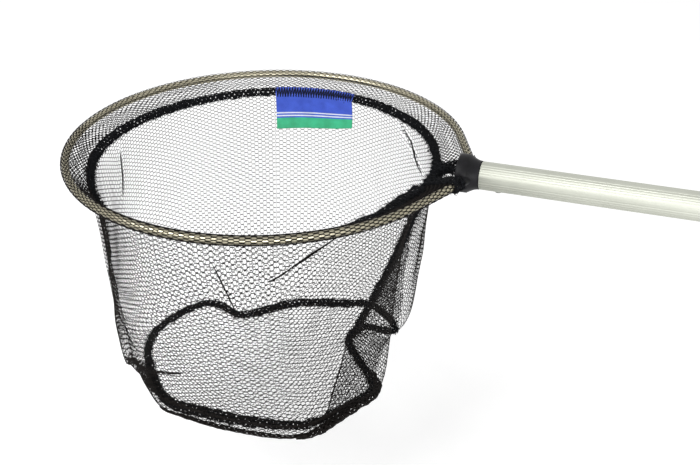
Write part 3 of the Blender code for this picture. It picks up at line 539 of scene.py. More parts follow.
# Angle; belly radius share and depth share of the upper wall; how far the fold under the base edge
# stands out and hangs down; how straight the wall is pulled.
WALL_HANG = (
    (-156, 0.85, 0.524, 48, 40, 0.0), (-140, 0.99, 0.50, 15, 10, 0.0), (-120, 0.97, 0.50, 16, 30, 0.0),
    (-90, 0.99, 0.50, 17, 36, 0.0), (-60, 1.00, 0.50, 18, 38, 0.0), (-38, 0.99, 0.50, 19, 14, 0.1),
    (-22, 0.98, 0.50, 50, -2, 0.25), (-8, 0.95, 0.40, 18, 4, 0.9), (4, 0.97, 0.40, 16, 4, 0.6),
    (18, 0.89, 0.55, 26, -7, 0.0), (34, 1.017, 0.48, 18, -4, 0.0), (60, 0.98, 0.44, 26, 14, 0.0),
    (100, 1.00, 0.50, 34, 36, 0.0), (150, 0.99, 0.50, 36, 40, 0.0), (178, 0.975, 0.50, 44, 38, 0.0))
WALL_TOP = -11.5
RIM_TO_WALL = -2.5
WALL_ROUND = 880.0
WALL_DEPTH = 215.0
SIDE_SEAM = -8.0
BUNCH_AT, BUNCH_WIDE = 318.0, 18.0
# Where the wall folds under in front: middle and reach in degrees, the share of the way down from which
# it does and the share left below, and how much more netting lies there.
UNDER_AT, UNDER_WIDE, UNDER_FROM, UNDER_SHARE = 275.0, 55.0, 0.84, 0.16
CROWDED = 16.0
# Waves of the slack wall: the wall's radius and depth in lengths of a long wave, how many short waves
# go to a long one, and the height of the long and of the short ones.
WAVES_OUT, WAVES_DOWN, SHORTER = 2.6, 2.4, 2.7
LONG_WAVE, SHORT_WAVE = 3.2, 1.4
WALL_YARN, BACK_YARN = 0.238, 0.216
WALL_COLUMNS, WALL_PITCH = 249, 4.6
WALL_SPACING = WALL_ROUND / WALL_COLUMNS
base_edge = around(BASE_LOOP, 6.0)
wall_hang = around(WALL_HANG, 10.0)


def wall_lines(degrees, shares):
    """Lines down the wall at angles round the rim, evenly divided along each line."""
    degrees = np.asarray(degrees, float)
    turn = np.radians(degrees)
    out = np.stack([np.cos(turn), np.sin(turn), 0 * turn], 1)
    belly, deep, swell, slump, straight = wall_hang(degrees)[:, :, None]
    end = base_edge(degrees).T
    rim_reach, rim_drop = rim_line(degrees)
    top = out * rim_reach[:, None]
    top[:, 2] = RIM_TO_WALL - rim_drop
    upper = out * RIM_RADIUS * belly
    upper[:, 2:] = WALL_TOP - deep * (WALL_TOP - end[:, 2:])
    lower = end + out * swell
    lower[:, 2:] = end[:, 2:] - slump
    upper += (top + (end - top) / 3 - upper) * straight
    lower += (top + (end - top) * 2 / 3 - lower) * straight
    b = np.linspace(0, 1, 121)[None, :, None]
    a = 1 - b
    lines = (a ** 3 * top[:, None] + 3 * a * a * b * upper[:, None] + 3 * a * b * b * lower[:, None]
             + b ** 3 * end[:, None])
    run = np.cumsum(np.linalg.norm(np.diff(lines, axis=1), axis=2), axis=1)
    run = np.concatenate([np.zeros((len(run), 1)), run], axis=1) / run[:, -1:]
    even = np.zeros((len(lines), len(shares), 3))
    for i in range(len(lines)):
        for k in range(3):
            even[i, :, k] = np.interp(shares, run[i], lines[i, :, k])
    return even


def crease(points, flat, start, end, half_width, take_up, rise):
    """Draw the cloth together along a line in its flat places, so that it lies in a narrow fold."""
    start, end = np.array(start, float), np.array(end, float)
    length = np.linalg.norm(end - start)
    along = (end - start) / length
    side = np.array([-along[1], along[0]])
    rel = flat - start
    share = (rel @ along) / length
    window = np.clip(share / 0.15 + 0.5, 0, 1) * np.clip((1 - share) / 0.3, 0, 1)
    window = window * window * (3 - 2 * window)
    off = (rel @ side) / half_width
    pull = off * np.exp(0.5 - off * off / 2) * window
    d_round = np.gradient(points, axis=0) / np.gradient(flat[..., 0], axis=0)[..., None]
    d_down = np.gradient(points, axis=1) / np.gradient(flat[..., 1], axis=1)[..., None]
    tangent = d_round * side[0] + d_down * side[1]
    normal = np.cross(d_round, d_down)
    normal /= np.maximum(np.linalg.norm(normal, axis=2), 1e-9)[..., None]
    return points - tangent * (pull * take_up)[..., None] + normal * (pull * rise)[..., None]


def wall_place(degrees, share):
    """Flat places on the wall, from the side seam round and from the rim down. The netting is drawn
    closer round the back and in the bunch before the side seam, and crowds where it folds under."""
    turns = np.radians(np.linspace(SIDE_SEAM, SIDE_SEAM + 360, 721))
    bunch = np.exp(-((np.degrees(turns) - BUNCH_AT) / BUNCH_WIDE) ** 2)
    closeness = np.cumsum(1.0 + 0.07 * np.sin(turns) + 0.35 * bunch)
    place = np.interp(degrees, np.degrees(turns), (closeness - closeness[0]) / (closeness[-1] - closeness[0]))
    turn = np.radians(degrees)
    bunch = np.exp(-((degrees - BUNCH_AT) / BUNCH_WIDE) ** 2)
    shift = 0.18 + 0.18 * np.sin(turn) - 0.2 * np.cos(turn) + 0.6 * bunch
    under = np.exp(-((degrees - UNDER_AT) / UNDER_WIDE) ** 2)
    under = under * np.clip((share - UNDER_FROM) / UNDER_SHARE, 0, 1) ** 2
    return place * WALL_ROUND, WALL_DEPTH * (share + shift * share * (1 - share)) + CROWDED * under


wall_degrees = np.linspace(SIDE_SEAM, SIDE_SEAM + 360, 521)
wall_shares = np.linspace(0, 1, 121)
wall_points = wall_lines(wall_degrees, wall_shares)
wall_flat = np.stack(np.broadcast_arrays(*wall_place(wall_degrees[:, None], wall_shares[None, :])), -1)
slack = np.sin(np.pi * wall_shares) ** 0.6
for i in range(len(wall_degrees)):
    turn = math.radians(wall_degrees[i])
    for j in range(len(wall_shares)):
        at = Vector(polar(turn, WAVES_OUT, WAVES_DOWN * wall_shares[j]))
        push = slack[j] * (LONG_WAVE * noise.noise(at) + SHORT_WAVE * noise.noise(at * SHORTER))
        wall_points[i, j] += push * polar(turn, 1.0, 0.0)
for start, end, half_width, take_up, rise in (
        (wall_place(316, 0.0), wall_place(292, 0.16), 2.6, 2.9, 1.2),
        (wall_place(142, 0.70), wall_place(131, 0.97), 2.6, 2.9, 1.0),
        (wall_place(180, 0.04), wall_place(181, 0.30), 2.4, 2.6, 1.0),
        (wall_place(55, 0.03), wall_place(37, 0.24), 2.6, 2.9, 1.2),
        (wall_place(227, 0.02), wall_place(227, 0.72), 6.0, 6.6, 2.2),
        (wall_place(208, 0.91), wall_place(256, 0.66), 3.4, 3.4, 1.4)):
    wall_points = crease(wall_points, wall_flat, start, end, half_width, take_up, rise)

wall_rows = int((WALL_DEPTH + CROWDED) / WALL_PITCH)
wall_cloth = surface("wall_cloth", wall_points, wall_flat, yarn_black)
third = WALL_COLUMNS // 3
for name, first_column, yarn in (("wall_netting_back", 0, BACK_YARN), ("wall_netting_far", third, WALL_YARN),
                                 ("wall_netting_front", 2 * third, WALL_YARN)):
    netting(name, wall_cloth, (WALL_SPACING, WALL_PITCH, yarn), (third, wall_rows),
            third * WALL_DEPTH / WALL_PITCH, (WALL_ROUND - EDGE_GAP, WALL_DEPTH + CROWDED),
            (WALL_ROUND / 3, WALL_DEPTH), "net_side", "hung", ["rim_seam_band"],
            first=(first_column * WALL_SPACING + 1.0, 0.8), wander=0.24, wander_size=11.0, seed=7.0)
put_away(wall_cloth)


# Folds of the wall: creases from packing that have set in the netting. Most are narrow rolls of
# crushed cells. The wider ones are where the wall lies doubled: on the left, beside the side seam
# and below it, and along the front edge.

FOLD_STEPS, PLEAT_STEPS, EDGE_STEPS = 61, 81, 121
CRUSHED_YARN = 0.27
ROLLED_YARN = 0.5
CROWDED_KNIT = (3.2, 3.5, 0.26)
PLEAT_KNIT = (3.5, 3.6, 0.215)


def wall_at(degrees, shares):
    """Points of the draped wall at angles round the rim and shares of the way down."""
    i = (np.asarray(degrees) - SIDE_SEAM) % 360 / 360 * (len(wall_degrees) - 1)
    j = np.asarray(shares) * (len(wall_shares) - 1)
    i0 = np.minimum(i.astype(int), len(wall_degrees) - 2)
    j0 = np.minimum(j.astype(int), len(wall_shares) - 2)
    a, b = (i - i0)[..., None], (j - j0)[..., None]
    upper = (1 - a) * wall_points[i0, j0] + a * wall_points[i0 + 1, j0]
    lower = (1 - a) * wall_points[i0, j0 + 1] + a * wall_points[i0 + 1, j0 + 1]
    return (1 - b) * upper + b * lower


def drawn_line(knots, steps):
    """Evenly spaced points of a line through knots."""
    knots = np.array(knots, float)
    shares, spread = np.linspace(0, 1, steps), np.linspace(0, 1, len(knots))
    return np.stack([np.interp(shares, spread, k) for k in knots.T], 1)


def wall_line(*knots, steps=PLEAT_STEPS):
    """Points of the draped wall along a line through knots of (angle, share of the way down)."""
    return wall_at(*drawn_line(knots, steps).T)


def doubled(name, first_edge, second_edge, stand_off, knit, node, rests_on, seed):
    """A strip of netting against the cloth between two lines of points, standing off it a little."""
    spacing, pitch, yarn = knit
    half = 7
    shares = np.linspace(0, 1, 2 * half + 1)
    widths = np.linalg.norm(second_edge - first_edge, axis=1)
    slack = np.minimum(1.0, widths / 30.0)[:, None, None]
    points = first_edge[:, None] * (1 - shares[:, None]) + second_edge[:, None] * shares[:, None]
    points = points + stand_off * slack * np.sin(np.pi * shares)[:, None]
    long = run_along(points[:, half])
    flat = np.stack([np.broadcast_to(long[:, None], points.shape[:2]), widths[:, None] * shares], -1)
    cloth = surface(name + "_cloth", points, flat, yarn_black)
    wide = float(widths.max())
    counts = int(long[-1] / spacing), max(2, int(wide / pitch))
    cells = counts[0] * counts[1] * float(widths.mean()) / wide
    netting(name, cloth, knit, counts, cells, (long[-1] - EDGE_GAP, wide - EDGE_GAP),
            (long[-1], float(widths.mean())), node, "hung", [rests_on], first=(1.0, 1.0), wander=0.9,
            wander_size=6.0, seed=seed)
    put_away(cloth)


def crushed_roll(name, path, across, half_width, half_thick, node, seed, yarn=CRUSHED_YARN):
    """A narrow roll of crushed netting along a path, slim at its ends."""
    upward = np.cross(across, unit(np.gradient(path, axis=0)))
    slim = 0.35 + 0.65 * np.sin(np.pi * np.linspace(0.06, 0.94, len(path)))
    skin = seam_tube(path, across, upward, half_width * slim, half_thick * slim, 0.4, 8)
    points, flat, length, girth = skin
    cloth = surface(name + "_cloth", points, flat, yarn_black)
    rows = max(3, int(girth / DENSE_PITCH))
    crushed = knitted_cell(name + "_cell", DENSE_SPACING, girth / rows, yarn)
    low, high = skin_limits(length, girth)
    made = lay(name, cloth, crushed, yarn_black, int(length / DENSE_SPACING), rows, DENSE_SPACING,
               girth / rows, low, high, first=(0.8, 0.4), wander=0.5, wander_size=4.0, seed=seed)
    put_away(cloth, crushed)
    keep_all([made], node)


# Places as (angle, share of the way down), then half the roll's width. The last two are the wall's
# turned-in edge, rolled up under the base seam.
for number, (knots, half_width) in enumerate((
        (((-46, 0.0), (-56, 0.08), (-68, 0.155)), 0.8), (((141, 0.74), (137, 0.84), (132, 0.94)), 0.8),
        (((-180, 0.07), (-180.5, 0.17), (-179, 0.27)), 0.6), (((54, 0.06), (46, 0.13), (38, 0.2)), 0.7),
        (((-154, 0.92), (-140, 0.85), (-120, 0.73), (-102, 0.65)), 1.5),
        (((-122, 0.95), (-110, 0.94), (-98, 0.93), (-84, 0.93), (-70, 0.93), (-62, 0.92)), 2.6),
        (((-68, 0.94), (-60, 0.935), (-46, 0.935), (-34, 0.95), (-24, 0.975)), 5.4))):
    degrees, shares = drawn_line(knots, FOLD_STEPS).T
    path = wall_at(degrees, shares)
    round_it = wall_at(degrees + 1.0, shares) - wall_at(degrees - 1.0, shares)
    down_it = wall_at(degrees, shares + 0.01) - wall_at(degrees, np.maximum(shares - 0.01, 0.0))
    across = unit(np.cross(np.cross(down_it, round_it), np.gradient(path, axis=0)))
    crushed_roll("wall_fold_%d" % (number + 1), path, across, half_width, 0.7 * half_width, "net_side",
                 71.0 + number, CRUSHED_YARN if half_width < 2.0 else ROLLED_YARN)

side_edge = wall_line((-6, 0.24), (-6, 0.7))
turn_edge = wall_line((0, 0.26), (4, 0.36), (7, 0.44), (10, 0.55), (12, 0.65), (15, 0.76), (18, 0.86),
                      (21, 0.95))
# Below the side seam the wall's spare width lies doubled against the base seam.
caught_edge = wall_line((-10, 0.93), (-14, 0.84), (-18, 0.75), (-24, 0.65), steps=FOLD_STEPS)
lower_edge = wall_line((-11, 0.99), (-16, 0.99), (-20, 0.99), (-25, 0.93), steps=FOLD_STEPS)
for place, first_edge, second_edge, facing, third_of_wall, seed in (
        ("side", side_edge, turn_edge, 0.1, "wall_netting_back", 77.0),
        ("caught", caught_edge, lower_edge, math.radians(-20.0), "wall_netting_front", 93.0)):
    inward = -polar(facing, 1.0, 0.0)
    doubled(place + "_pleat_inner", first_edge, second_edge, 1.5 * inward, CROWDED_KNIT, "net_side",
            third_of_wall, seed)
    doubled(place + "_pleat_outer", first_edge, second_edge, 3.5 * inward, PLEAT_KNIT, "net_side",
            third_of_wall, seed + 2.0)

left_edge = wall_line((-125, 0.05), (-126, 0.2), (-130, 0.34), (-137, 0.46))
pleat_edge = wall_line((-140, 0.05), (-142, 0.2), (-144, 0.34), (-146, 0.46))
inward = -polar(math.radians(-138.0), 1.0, 0.0)
doubled("left_pleat", left_edge, pleat_edge, 1.5 * inward, PLEAT_KNIT, "net_side", "wall_netting_front", 81.0)

# Along the front the turned-in edge of the wall stands up inside the fold above the base seam.
front_turns = np.linspace(-150, -42, EDGE_STEPS)
fold_line = wall_at(front_turns, np.full(EDGE_STEPS, 0.85))
hem_line = wall_at(front_turns, np.full(EDGE_STEPS, 0.995))
for name, stand_off, seed in (("edge_turned_in", 1.5, 89.0), ("edge_turned_back", -1.0, 91.0)):
    doubled(name, fold_line, hem_line, stand_off * straight_up, CROWDED_KNIT, "net_side",
            "wall_netting_front", seed)


# Side seam: the wall strip's two ends overlocked together, from the rim seam down to the base
# seam. The same thread and crushed netting, lying against the wall.

side_line = wall_lines([SIDE_SEAM - 0.4, SIDE_SEAM, SIDE_SEAM + 0.4], np.linspace(0.0, 1.0, 121))
path = side_line[1]
along = unit(np.gradient(path, axis=0))
across = side_line[2] - side_line[0]
across = unit(across - along * (across * along).sum(1)[:, None])
half_width = np.linspace(3.1, 2.7, len(path))
half_thick = np.linspace(2.5, 2.1, len(path))
side_skin = seam_tube(path, across, np.cross(across, along), half_width, half_thick, 0.5)
seam("side_seam_band", side_skin, "side_seam", 23.0)


# Base seam: the wall's lower edge and the base's rim overlocked together. The seam rolls on
# itself into a soft rope, mostly 5 to 8 mm thick, and follows the fold towards the handle.

loop_degrees = np.linspace(-180, 180, 481)
path = base_edge(loop_degrees).T
along = unit(np.gradient(path, axis=0))
across = unit(np.cross(along, straight_up))
# The seam is thicker along the front, where the wall folds under, and round the back. It is thinner
# where it turns back sharply. Each swell: how much, at which angle, how far round.
swell = 1.0
for amount, at, spread in ((0.6, -105.0, 40.0), (-0.35, 31.0, 8.0), (0.35, 100.0, 35.0)):
    swell = swell + amount * np.exp(-((loop_degrees - at) / spread) ** 2)
base_skin = seam_tube(path, across, np.cross(across, along), 2.7 * swell, 2.6 * swell, 0.5)
seam("base_seam_band", base_skin, "base_seam", 31.0)


# Bag base: a disc of the same netting sewn in with the base seam. It sags a little, and where the
# seam is caught up it lies in a fold.

BASE_DEEP = -209.0
BASE_ACROSS = 210.0
BASE_SPACING, BASE_PITCH, BASE_YARN = 3.75, 4.7, 0.224
BASE_TURN = 52.0
# The sagging disc's waves: their height, and their number to a millimetre.
BASE_WAVE, BASE_WAVES = 4.0, 0.022
BASE_LIMIT = 200.0
BASE_GRID = 260.0
base_degrees = np.linspace(180, -180, 361)
base_shares = np.linspace(0.0, 1.025, 62)
edge = base_edge(base_degrees).T
centre = np.array([-4.0, 0.0, BASE_DEEP])
# The disc's middle keeps an even round, and only its rim is drawn to the folded seam.
evened = np.hanning(91) / np.hanning(91).sum()
even_edge = np.stack([np.convolve(np.r_[k[-46:-1], k, k[1:46]], evened, "valid") for k in edge.T], 1)
reaches = np.linalg.norm((even_edge - centre)[:, :2], axis=1)
spread = np.unwrap(np.arctan2(even_edge[:, 1], even_edge[:, 0] - centre[0])) - math.radians(BASE_TURN)
base_points = np.zeros((len(base_degrees), len(base_shares), 3))
base_flat = np.zeros((len(base_degrees), len(base_shares), 2))
for i in range(len(base_degrees)):
    for j, share in enumerate(base_shares):
        where = centre + (even_edge[i] - centre) * share + (edge[i] - even_edge[i]) * share ** 5
        where[2] = BASE_DEEP + (edge[i][2] - BASE_DEEP) * share ** 3
        where[2] += (1 - share) * BASE_WAVE * noise.noise(Vector((where[0], where[1], 3.0)) * BASE_WAVES)
        base_points[i, j] = where
        base_flat[i, j] = reaches[i] * share * np.array((math.cos(spread[i]), math.sin(spread[i])))
base_cloth = surface("base_cloth", base_points, base_flat, yarn_black)
base_counts = int(BASE_GRID / BASE_SPACING), int(BASE_GRID / BASE_PITCH)
netting("base_netting", base_cloth, (BASE_SPACING, BASE_PITCH, BASE_YARN), base_counts,
        math.pi / 4 * BASE_ACROSS ** 2 / (BASE_SPACING * BASE_PITCH), (BASE_LIMIT, BASE_LIMIT),
        (BASE_ACROSS, BASE_ACROSS), "net_base", "hung", ["base_seam_band"], low=(-BASE_LIMIT, -BASE_LIMIT),
        first=(-BASE_GRID / 2, -BASE_GRID / 2), margin=4.5, wander=1.3, wander_size=9.0, seed=41.0)
put_away(base_cloth)

# Towards the handle the spare cloth of the disc lies doubled, from the seam's inner corner forward.
fold_edge = drawn_line(((56, 36, -203), (62, 5, -204.5), (67, -25, -204.5), (72, -53, -203.5),
                        (75, -68, -203)), FOLD_STEPS)
seam_edge = drawn_line(((57, 38, -203), (70, 16, -202), (83, 1, -201), (96, -15, -200), (101, -27, -200),
                        (100, -40, -200), (93, -51, -200), (85, -64, -201), (77, -76, -202)), FOLD_STEPS)
for name, stand_off, seed in (("base_fold_upper", 4.0, 85.0), ("base_fold_lower", 1.5, 87.0)):
    doubled(name, fold_edge, seam_edge, stand_off * straight_up, PLEAT_KNIT, "net_base", "base_netting", seed)
across = unit(np.cross(straight_up, np.gradient(fold_edge, axis=0)))
crushed_roll("base_fold_edge", fold_edge, across, 0.6, 0.5, "net_base", 88.0)


# Bound ends and gathers: each end of the hem is bound with overlock thread where it meets the
# socket, and the spare cloth of the rim seam is bunched up between them and pushed against it.

for name, side, degrees, half_width, seed in (
        ("hem_end_back", 1, 6.2, 2.4, 43.0), ("hem_end_front", -1, 6.9, 3.4, 47.0),
        ("hem_edge_front", -1, 8.9, 2.8, 49.0)):
    path = hem_section(side * math.radians(degrees))
    along = unit(np.gradient(path, axis=0))
    across = np.broadcast_to(polar(math.radians(90.0 + side * degrees), 1.0, 0.0), path.shape)
    bound_skin = seam_tube(path, across, np.cross(across, along), half_width, 1.6, 0.4)
    seam(name, bound_skin, "hem_binding_back" if side > 0 else "hem_binding_front", seed)

front_bunch = [polar(math.radians(degrees), reach, z) for degrees, reach, z in (
    (304, 144.0, -9.6), (312, 144.5, -8.6), (320, 145.5, -6.2), (330, 146.5, -4.4), (340, 146.0, -2.4),
    (347, 146.0, -1.8))]
SOFTENED = 17
soft = np.hanning(SOFTENED) / np.hanning(SOFTENED).sum()
seam_bunch = ((139.0, -42.0, -7.6), (143.0, -12.0, -7.0), (142.5, 12.0, -7.4), (139.0, 26.0, -8.4))
socket_bunch = ((137.0, -13.0, -9.0), (146.0, -11.0, -6.5), (154.0, -9.0, -5.5), (162.5, -8.0, -3.5))
over_bunch = ((140.0, 10.0, -7.0), (147.0, 8.0, -4.0), (155.0, 8.0, -3.0), (162.5, 8.5, -2.5))
for name, ends, half_widths, half_thicks, seed in (
        ("gather_along_front", front_bunch, (1.2, 2.1, 3.7, 5.4, 6.8, 6.8), (0.8, 1.2, 2.0, 2.8, 3.6, 3.8),
         51.0),
        ("gather_on_seam", seam_bunch, (4.6,), (3.2,), 53.0),
        ("gather_to_socket", socket_bunch, (6.0,), (3.4,), 59.0),
        ("gather_over", over_bunch, (4.8,), (2.8,), 61.0)):
    path = drawn_line(ends, FOLD_STEPS)
    path = np.stack([np.convolve(np.pad(k, SOFTENED // 2, "edge"), soft, "valid") for k in path.T], 1)
    along = unit(np.gradient(path, axis=0))
    across = unit(np.cross(straight_up, along))
    wide, thick = (np.interp(np.linspace(0, 1, FOLD_STEPS), np.linspace(0, 1, len(k)), k)
                   for k in (half_widths, half_thicks))
    seam(name, seam_tube(path, across, np.cross(across, along), wide, thick, 0.5), "rim_seam", seed)


# Label: a woven polyester strip, blue with a green border below and two white lines between, sewn on
# the inside of the rim seam by its top edge with the overlock's own black zigzag, hanging free below.

LABEL_WIDTH = 76.0
LABEL_AT = math.radians(93.8)
LABEL_LIFT = 2.3
LABEL_DROP = 41.7
LABEL_SKEW = 7.8
LABEL_DIP = 2.2
LABEL_THICK = 0.6
LABEL_TOP, LABEL_FOOT = 3.2, 4.0
LABEL_EDGE = 0.3
LABEL_BELLY, LABEL_CURL, LABEL_WAVE = 1.6, 1.2, 0.5
ZIGZAG, ZIGZAG_YARN = 2.5, 0.48
BORDER = 10.5
WHITE_LINES = (12.6, 15.4)
WHITE_LINE = 1.3

label_woven, tree, shader = new_material("blue woven polyester label")
# Satin weave: warp ribs 0.5 mm apart down the strip and fine picks across them. The real picks are
# finer, and are drawn at 0.45 mm so that they show.
place = add_node(tree, "ShaderNodeUVMap", uv_map="flat")
ribs, picks = (
    add_node(tree, "ShaderNodeTexWave", {"Vector": place, "Scale": scale, "Distortion": uneven,
                                         "Detail": 1.0}, "Fac", wave_type="BANDS", bands_direction=way)
    for scale, uneven, way in ((314.0, 0.6, "X"), (349.0, 0.8, "Y")))
weave = add_node(tree, "ShaderNodeMath", {0: ribs, 1: picks}, operation="MULTIPLY")
fade = add_node(tree, "ShaderNodeTexNoise", {"Vector": place, "Scale": 90.0, "Detail": 3.0})
depth = add_node(tree, "ShaderNodeMath", {0: weave, 1: 0.55, 2: fade}, operation="MULTIPLY_ADD")
blue, green, white = (
    two_tones(add_node(tree, "ShaderNodeValToRGB", {"Fac": depth}), dark, light, 0.3, 1.1)
    for dark, light in (("#1c3cae", "#3f63dd"), ("#1d9766", "#36c791"), ("#c9d2dc", "#eef1f4")))
down = add_node(tree, "ShaderNodeSeparateXYZ", {0: place}, "Y")
stripe = add_node(tree, "ShaderNodeMath", {0: down, 1: (LABEL_DROP - BORDER) * MM}, operation="GREATER_THAN")
colour = add_node(tree, "ShaderNodeMix", {0: stripe, 6: blue, 7: green}, out=2, data_type="RGBA")
for height in WHITE_LINES:
    line = add_node(tree, "ShaderNodeMath", {0: down, 1: (LABEL_DROP - height) * MM, 2: WHITE_LINE / 2 * MM},
                    operation="COMPARE")
    colour = add_node(tree, "ShaderNodeMix", {0: line, 6: colour, 7: white}, out=2, data_type="RGBA")
bump = add_node(tree, "ShaderNodeBump", {"Height": weave, "Strength": 0.5, "Distance": 0.0002})
fill(tree, shader, {"Base Color": colour, "Normal": bump, "Roughness": 0.5, "Sheen Weight": 0.25})

label_columns, label_rows = 61, 41
label_points = np.zeros((label_columns, label_rows, 3))
label_flat = np.zeros((label_columns, label_rows, 2))
lift = LABEL_LIFT * SLANT
for i in range(label_columns):
    side = i / (label_columns - 1)
    angle = LABEL_AT + (side - 0.5) * LABEL_WIDTH / RIM_RADIUS
    rim_reach, rim_drop = rim_line(math.degrees(angle))
    seam_top = (rim_reach + SLANT * LABEL_TOP - lift, -rim_drop + SLANT * LABEL_TOP + lift)
    seam_foot = (rim_reach - SLANT * LABEL_FOOT - lift, -rim_drop - SLANT * LABEL_FOOT + lift)
    on_seam = math.dist(seam_top, seam_foot)
    long = LABEL_DROP - LABEL_SKEW * (1 - side) + LABEL_DIP * math.sin(math.pi * side)
    for j in range(label_rows):
        down = long * j / (label_rows - 1)
        if down < on_seam:
            r = seam_top[0] + (seam_foot[0] - seam_top[0]) * down / on_seam
            z = seam_top[1] + (seam_foot[1] - seam_top[1]) * down / on_seam
        else:
            free = (down - on_seam) / (LABEL_DROP - on_seam)
            r = seam_foot[0] + LABEL_BELLY * math.sin(free * math.pi)
            r -= LABEL_CURL * free * math.sin(side * 7.0 + 0.8)
            z = seam_foot[1] - (down - on_seam) - LABEL_WAVE * free * math.sin(side * 5.0)
        label_points[i, j] = polar(angle, r, z)
        label_flat[i, j] = (side * LABEL_WIDTH, LABEL_DROP * j / (label_rows - 1))
label = surface("label_strip", label_points, label_flat, label_woven)
cloth = label.modifiers.new("cloth", "SOLIDIFY")
cloth.thickness = LABEL_THICK * MM
cloth.offset = 0.0
label_cloth = surface("label_cloth", label_points, label_flat, thread_black)
halves = (((0.0, 0.5, 0.5), (0.17, 3.4, 0.8), (0.34, 6.8, 0.8), (0.51, 9.6, 0.4)),
          ((0.51, 9.6, 0.4), (0.66, 6.6, 0.8), (0.83, 3.2, 0.8), (1.0, 0.5, 0.5)))
zigzag = cell("zigzag", [([(share * ZIGZAG, y, z) for share, y, z in half], ZIGZAG_YARN) for half in halves])
stitches = lay("label_zigzag", label_cloth, zigzag, thread_black, int(LABEL_WIDTH / ZIGZAG), 1, ZIGZAG, 10.0,
               (LABEL_EDGE, LABEL_EDGE), (LABEL_WIDTH - LABEL_EDGE, LABEL_DROP - LABEL_EDGE),
               first=(0.4, 0.0), stagger=0.0, wander=0.6, seed=67.0)
put_away(label_cloth, zigzag)
keep_all([label], "label")
keep_all([stitches], "label")


# Socket: a flared moulding of black polypropylene, shot round the wire's two tails. Its spigot is
# pushed into the front tube and held there by the rivet.

SOCKET_FACE = 161.5
SOCKET_END = 179.0
SOCKET_MOUTH = 15.0
SOCKET_FLARE = 8.0
SPIGOT = 29.0
TUBE_RADIUS = 11.0
TUBE_BORE = 10.0
AXIS_HOLE = 0.05
# Edges that turn by more than this stay sharp.
SHARP_TURN = math.radians(40.0)


def edge_round(station, radius, size, facing):
    """A quarter round between a face and a sleeve, facing back along the handle (-1) or on along it (1)."""
    turns = np.linspace(0, math.pi / 2, 5)[::facing]
    return [(station - facing * size * (1 - math.sin(a)), radius - size + size * math.cos(a)) for a in turns]


def turned(name, outline, material, steps=72, radius_at=None):
    """A piece turned about the handle's axis from a closed outline of (station, radius)."""
    points, flat, faces = [], [], []
    count = len(outline)
    for i in range(steps):
        turn = 2 * math.pi * i / steps
        for station, radius in outline:
            reach = radius if radius_at is None else radius_at(turn, station, radius)
            points.append((station, reach * math.cos(turn), reach * math.sin(turn)))
            flat.append((station, radius * (math.pi - abs(math.pi - turn))))
    for i in range(steps):
        k = (i + 1) % steps
        for j in range(count):
            m = (j + 1) % count
            faces.append((i * count + j, i * count + m, k * count + m, k * count + j))
    made = piece(name, points, faces, material, flat)
    made.data.set_sharp_from_angle(angle=SHARP_TURN)
    return made


moulded, tree, shader = new_material("black moulded polypropylene")
# Spark-eroded mould: a fine grain of about 0.5 mm, a soft satin gloss, and pale scuffs a few
# millimetres long where it has been handled.
spot_in = add_node(tree, "ShaderNodeTexCoord", out="Object")
grain = add_node(tree, "ShaderNodeTexNoise", {"Vector": spot_in, "Scale": 2000.0, "Detail": 2.0})
scuffs = add_node(tree, "ShaderNodeTexNoise", {"Vector": spot_in, "Scale": 160.0, "Detail": 5.0,
                                              "Roughness": 0.7})
tone = add_node(tree, "ShaderNodeValToRGB", {"Fac": scuffs})
gloss = add_node(tree, "ShaderNodeMapRange", {"Value": scuffs, "To Min": 0.36, "To Max": 0.54})
bump = add_node(tree, "ShaderNodeBump", {"Height": grain, "Strength": 0.25, "Distance": 0.0001})
fill(tree, shader, {"Base Color": two_tones(tone, "#0a0a0c", "#1b1a1e", 0.35, 0.8),
                    "Roughness": gloss, "Normal": bump,
                    "Specular IOR Level": 0.18})

flare = []
for i in range(17):
    share = i / 16
    flare.append((SOCKET_FACE + SOCKET_FLARE + (SOCKET_END - SOCKET_FACE - SOCKET_FLARE) * share,
                  SOCKET_MOUTH + (TUBE_RADIUS + 0.2 - SOCKET_MOUTH) * math.sin(share * math.pi / 2)))
outline = [(SOCKET_FACE + 1.5, AXIS_HOLE), (SOCKET_FACE + 1.5, 8.5), (SOCKET_FACE, 10.0)]
outline += edge_round(SOCKET_FACE, SOCKET_MOUTH, 1.2, -1) + flare
outline += [(SOCKET_END, TUBE_BORE - 0.3), (SOCKET_END + SPIGOT - 1.0, TUBE_BORE - 0.3),
            (SOCKET_END + SPIGOT, TUBE_BORE - 1.3), (SOCKET_END + SPIGOT, AXIS_HOLE)]
mouldings = [turned("socket_moulding", outline, moulded)]
# Two short bosses on its flanks take in the wire.
BOSS_RADIUS, BOSS_FROM, BOSS_TO = 3.9, 23.0, 10.0
for name, side in (("socket_boss_back", 1), ("socket_boss_front", -1)):
    reaches = np.linspace(BOSS_FROM, BOSS_TO, 7)
    path = [((HOOP_RADIUS - y * math.sin(THROAT)) / math.cos(THROAT), side * y, 0.0) for y in reaches]
    points, faces = tube(path, BOSS_RADIUS, 24)
    mouldings.append(piece(name, points, faces, moulded))
    mouldings[-1].data.set_sharp_from_angle(angle=SHARP_TURN)
keep_all(mouldings, "socket")


# Socket rivet: a blind rivet of aluminium, set from below through the tube into the spigot. Its CAD
# shape is kept.

rivet_metal, tree, shader = new_material("bright aluminium rivet")
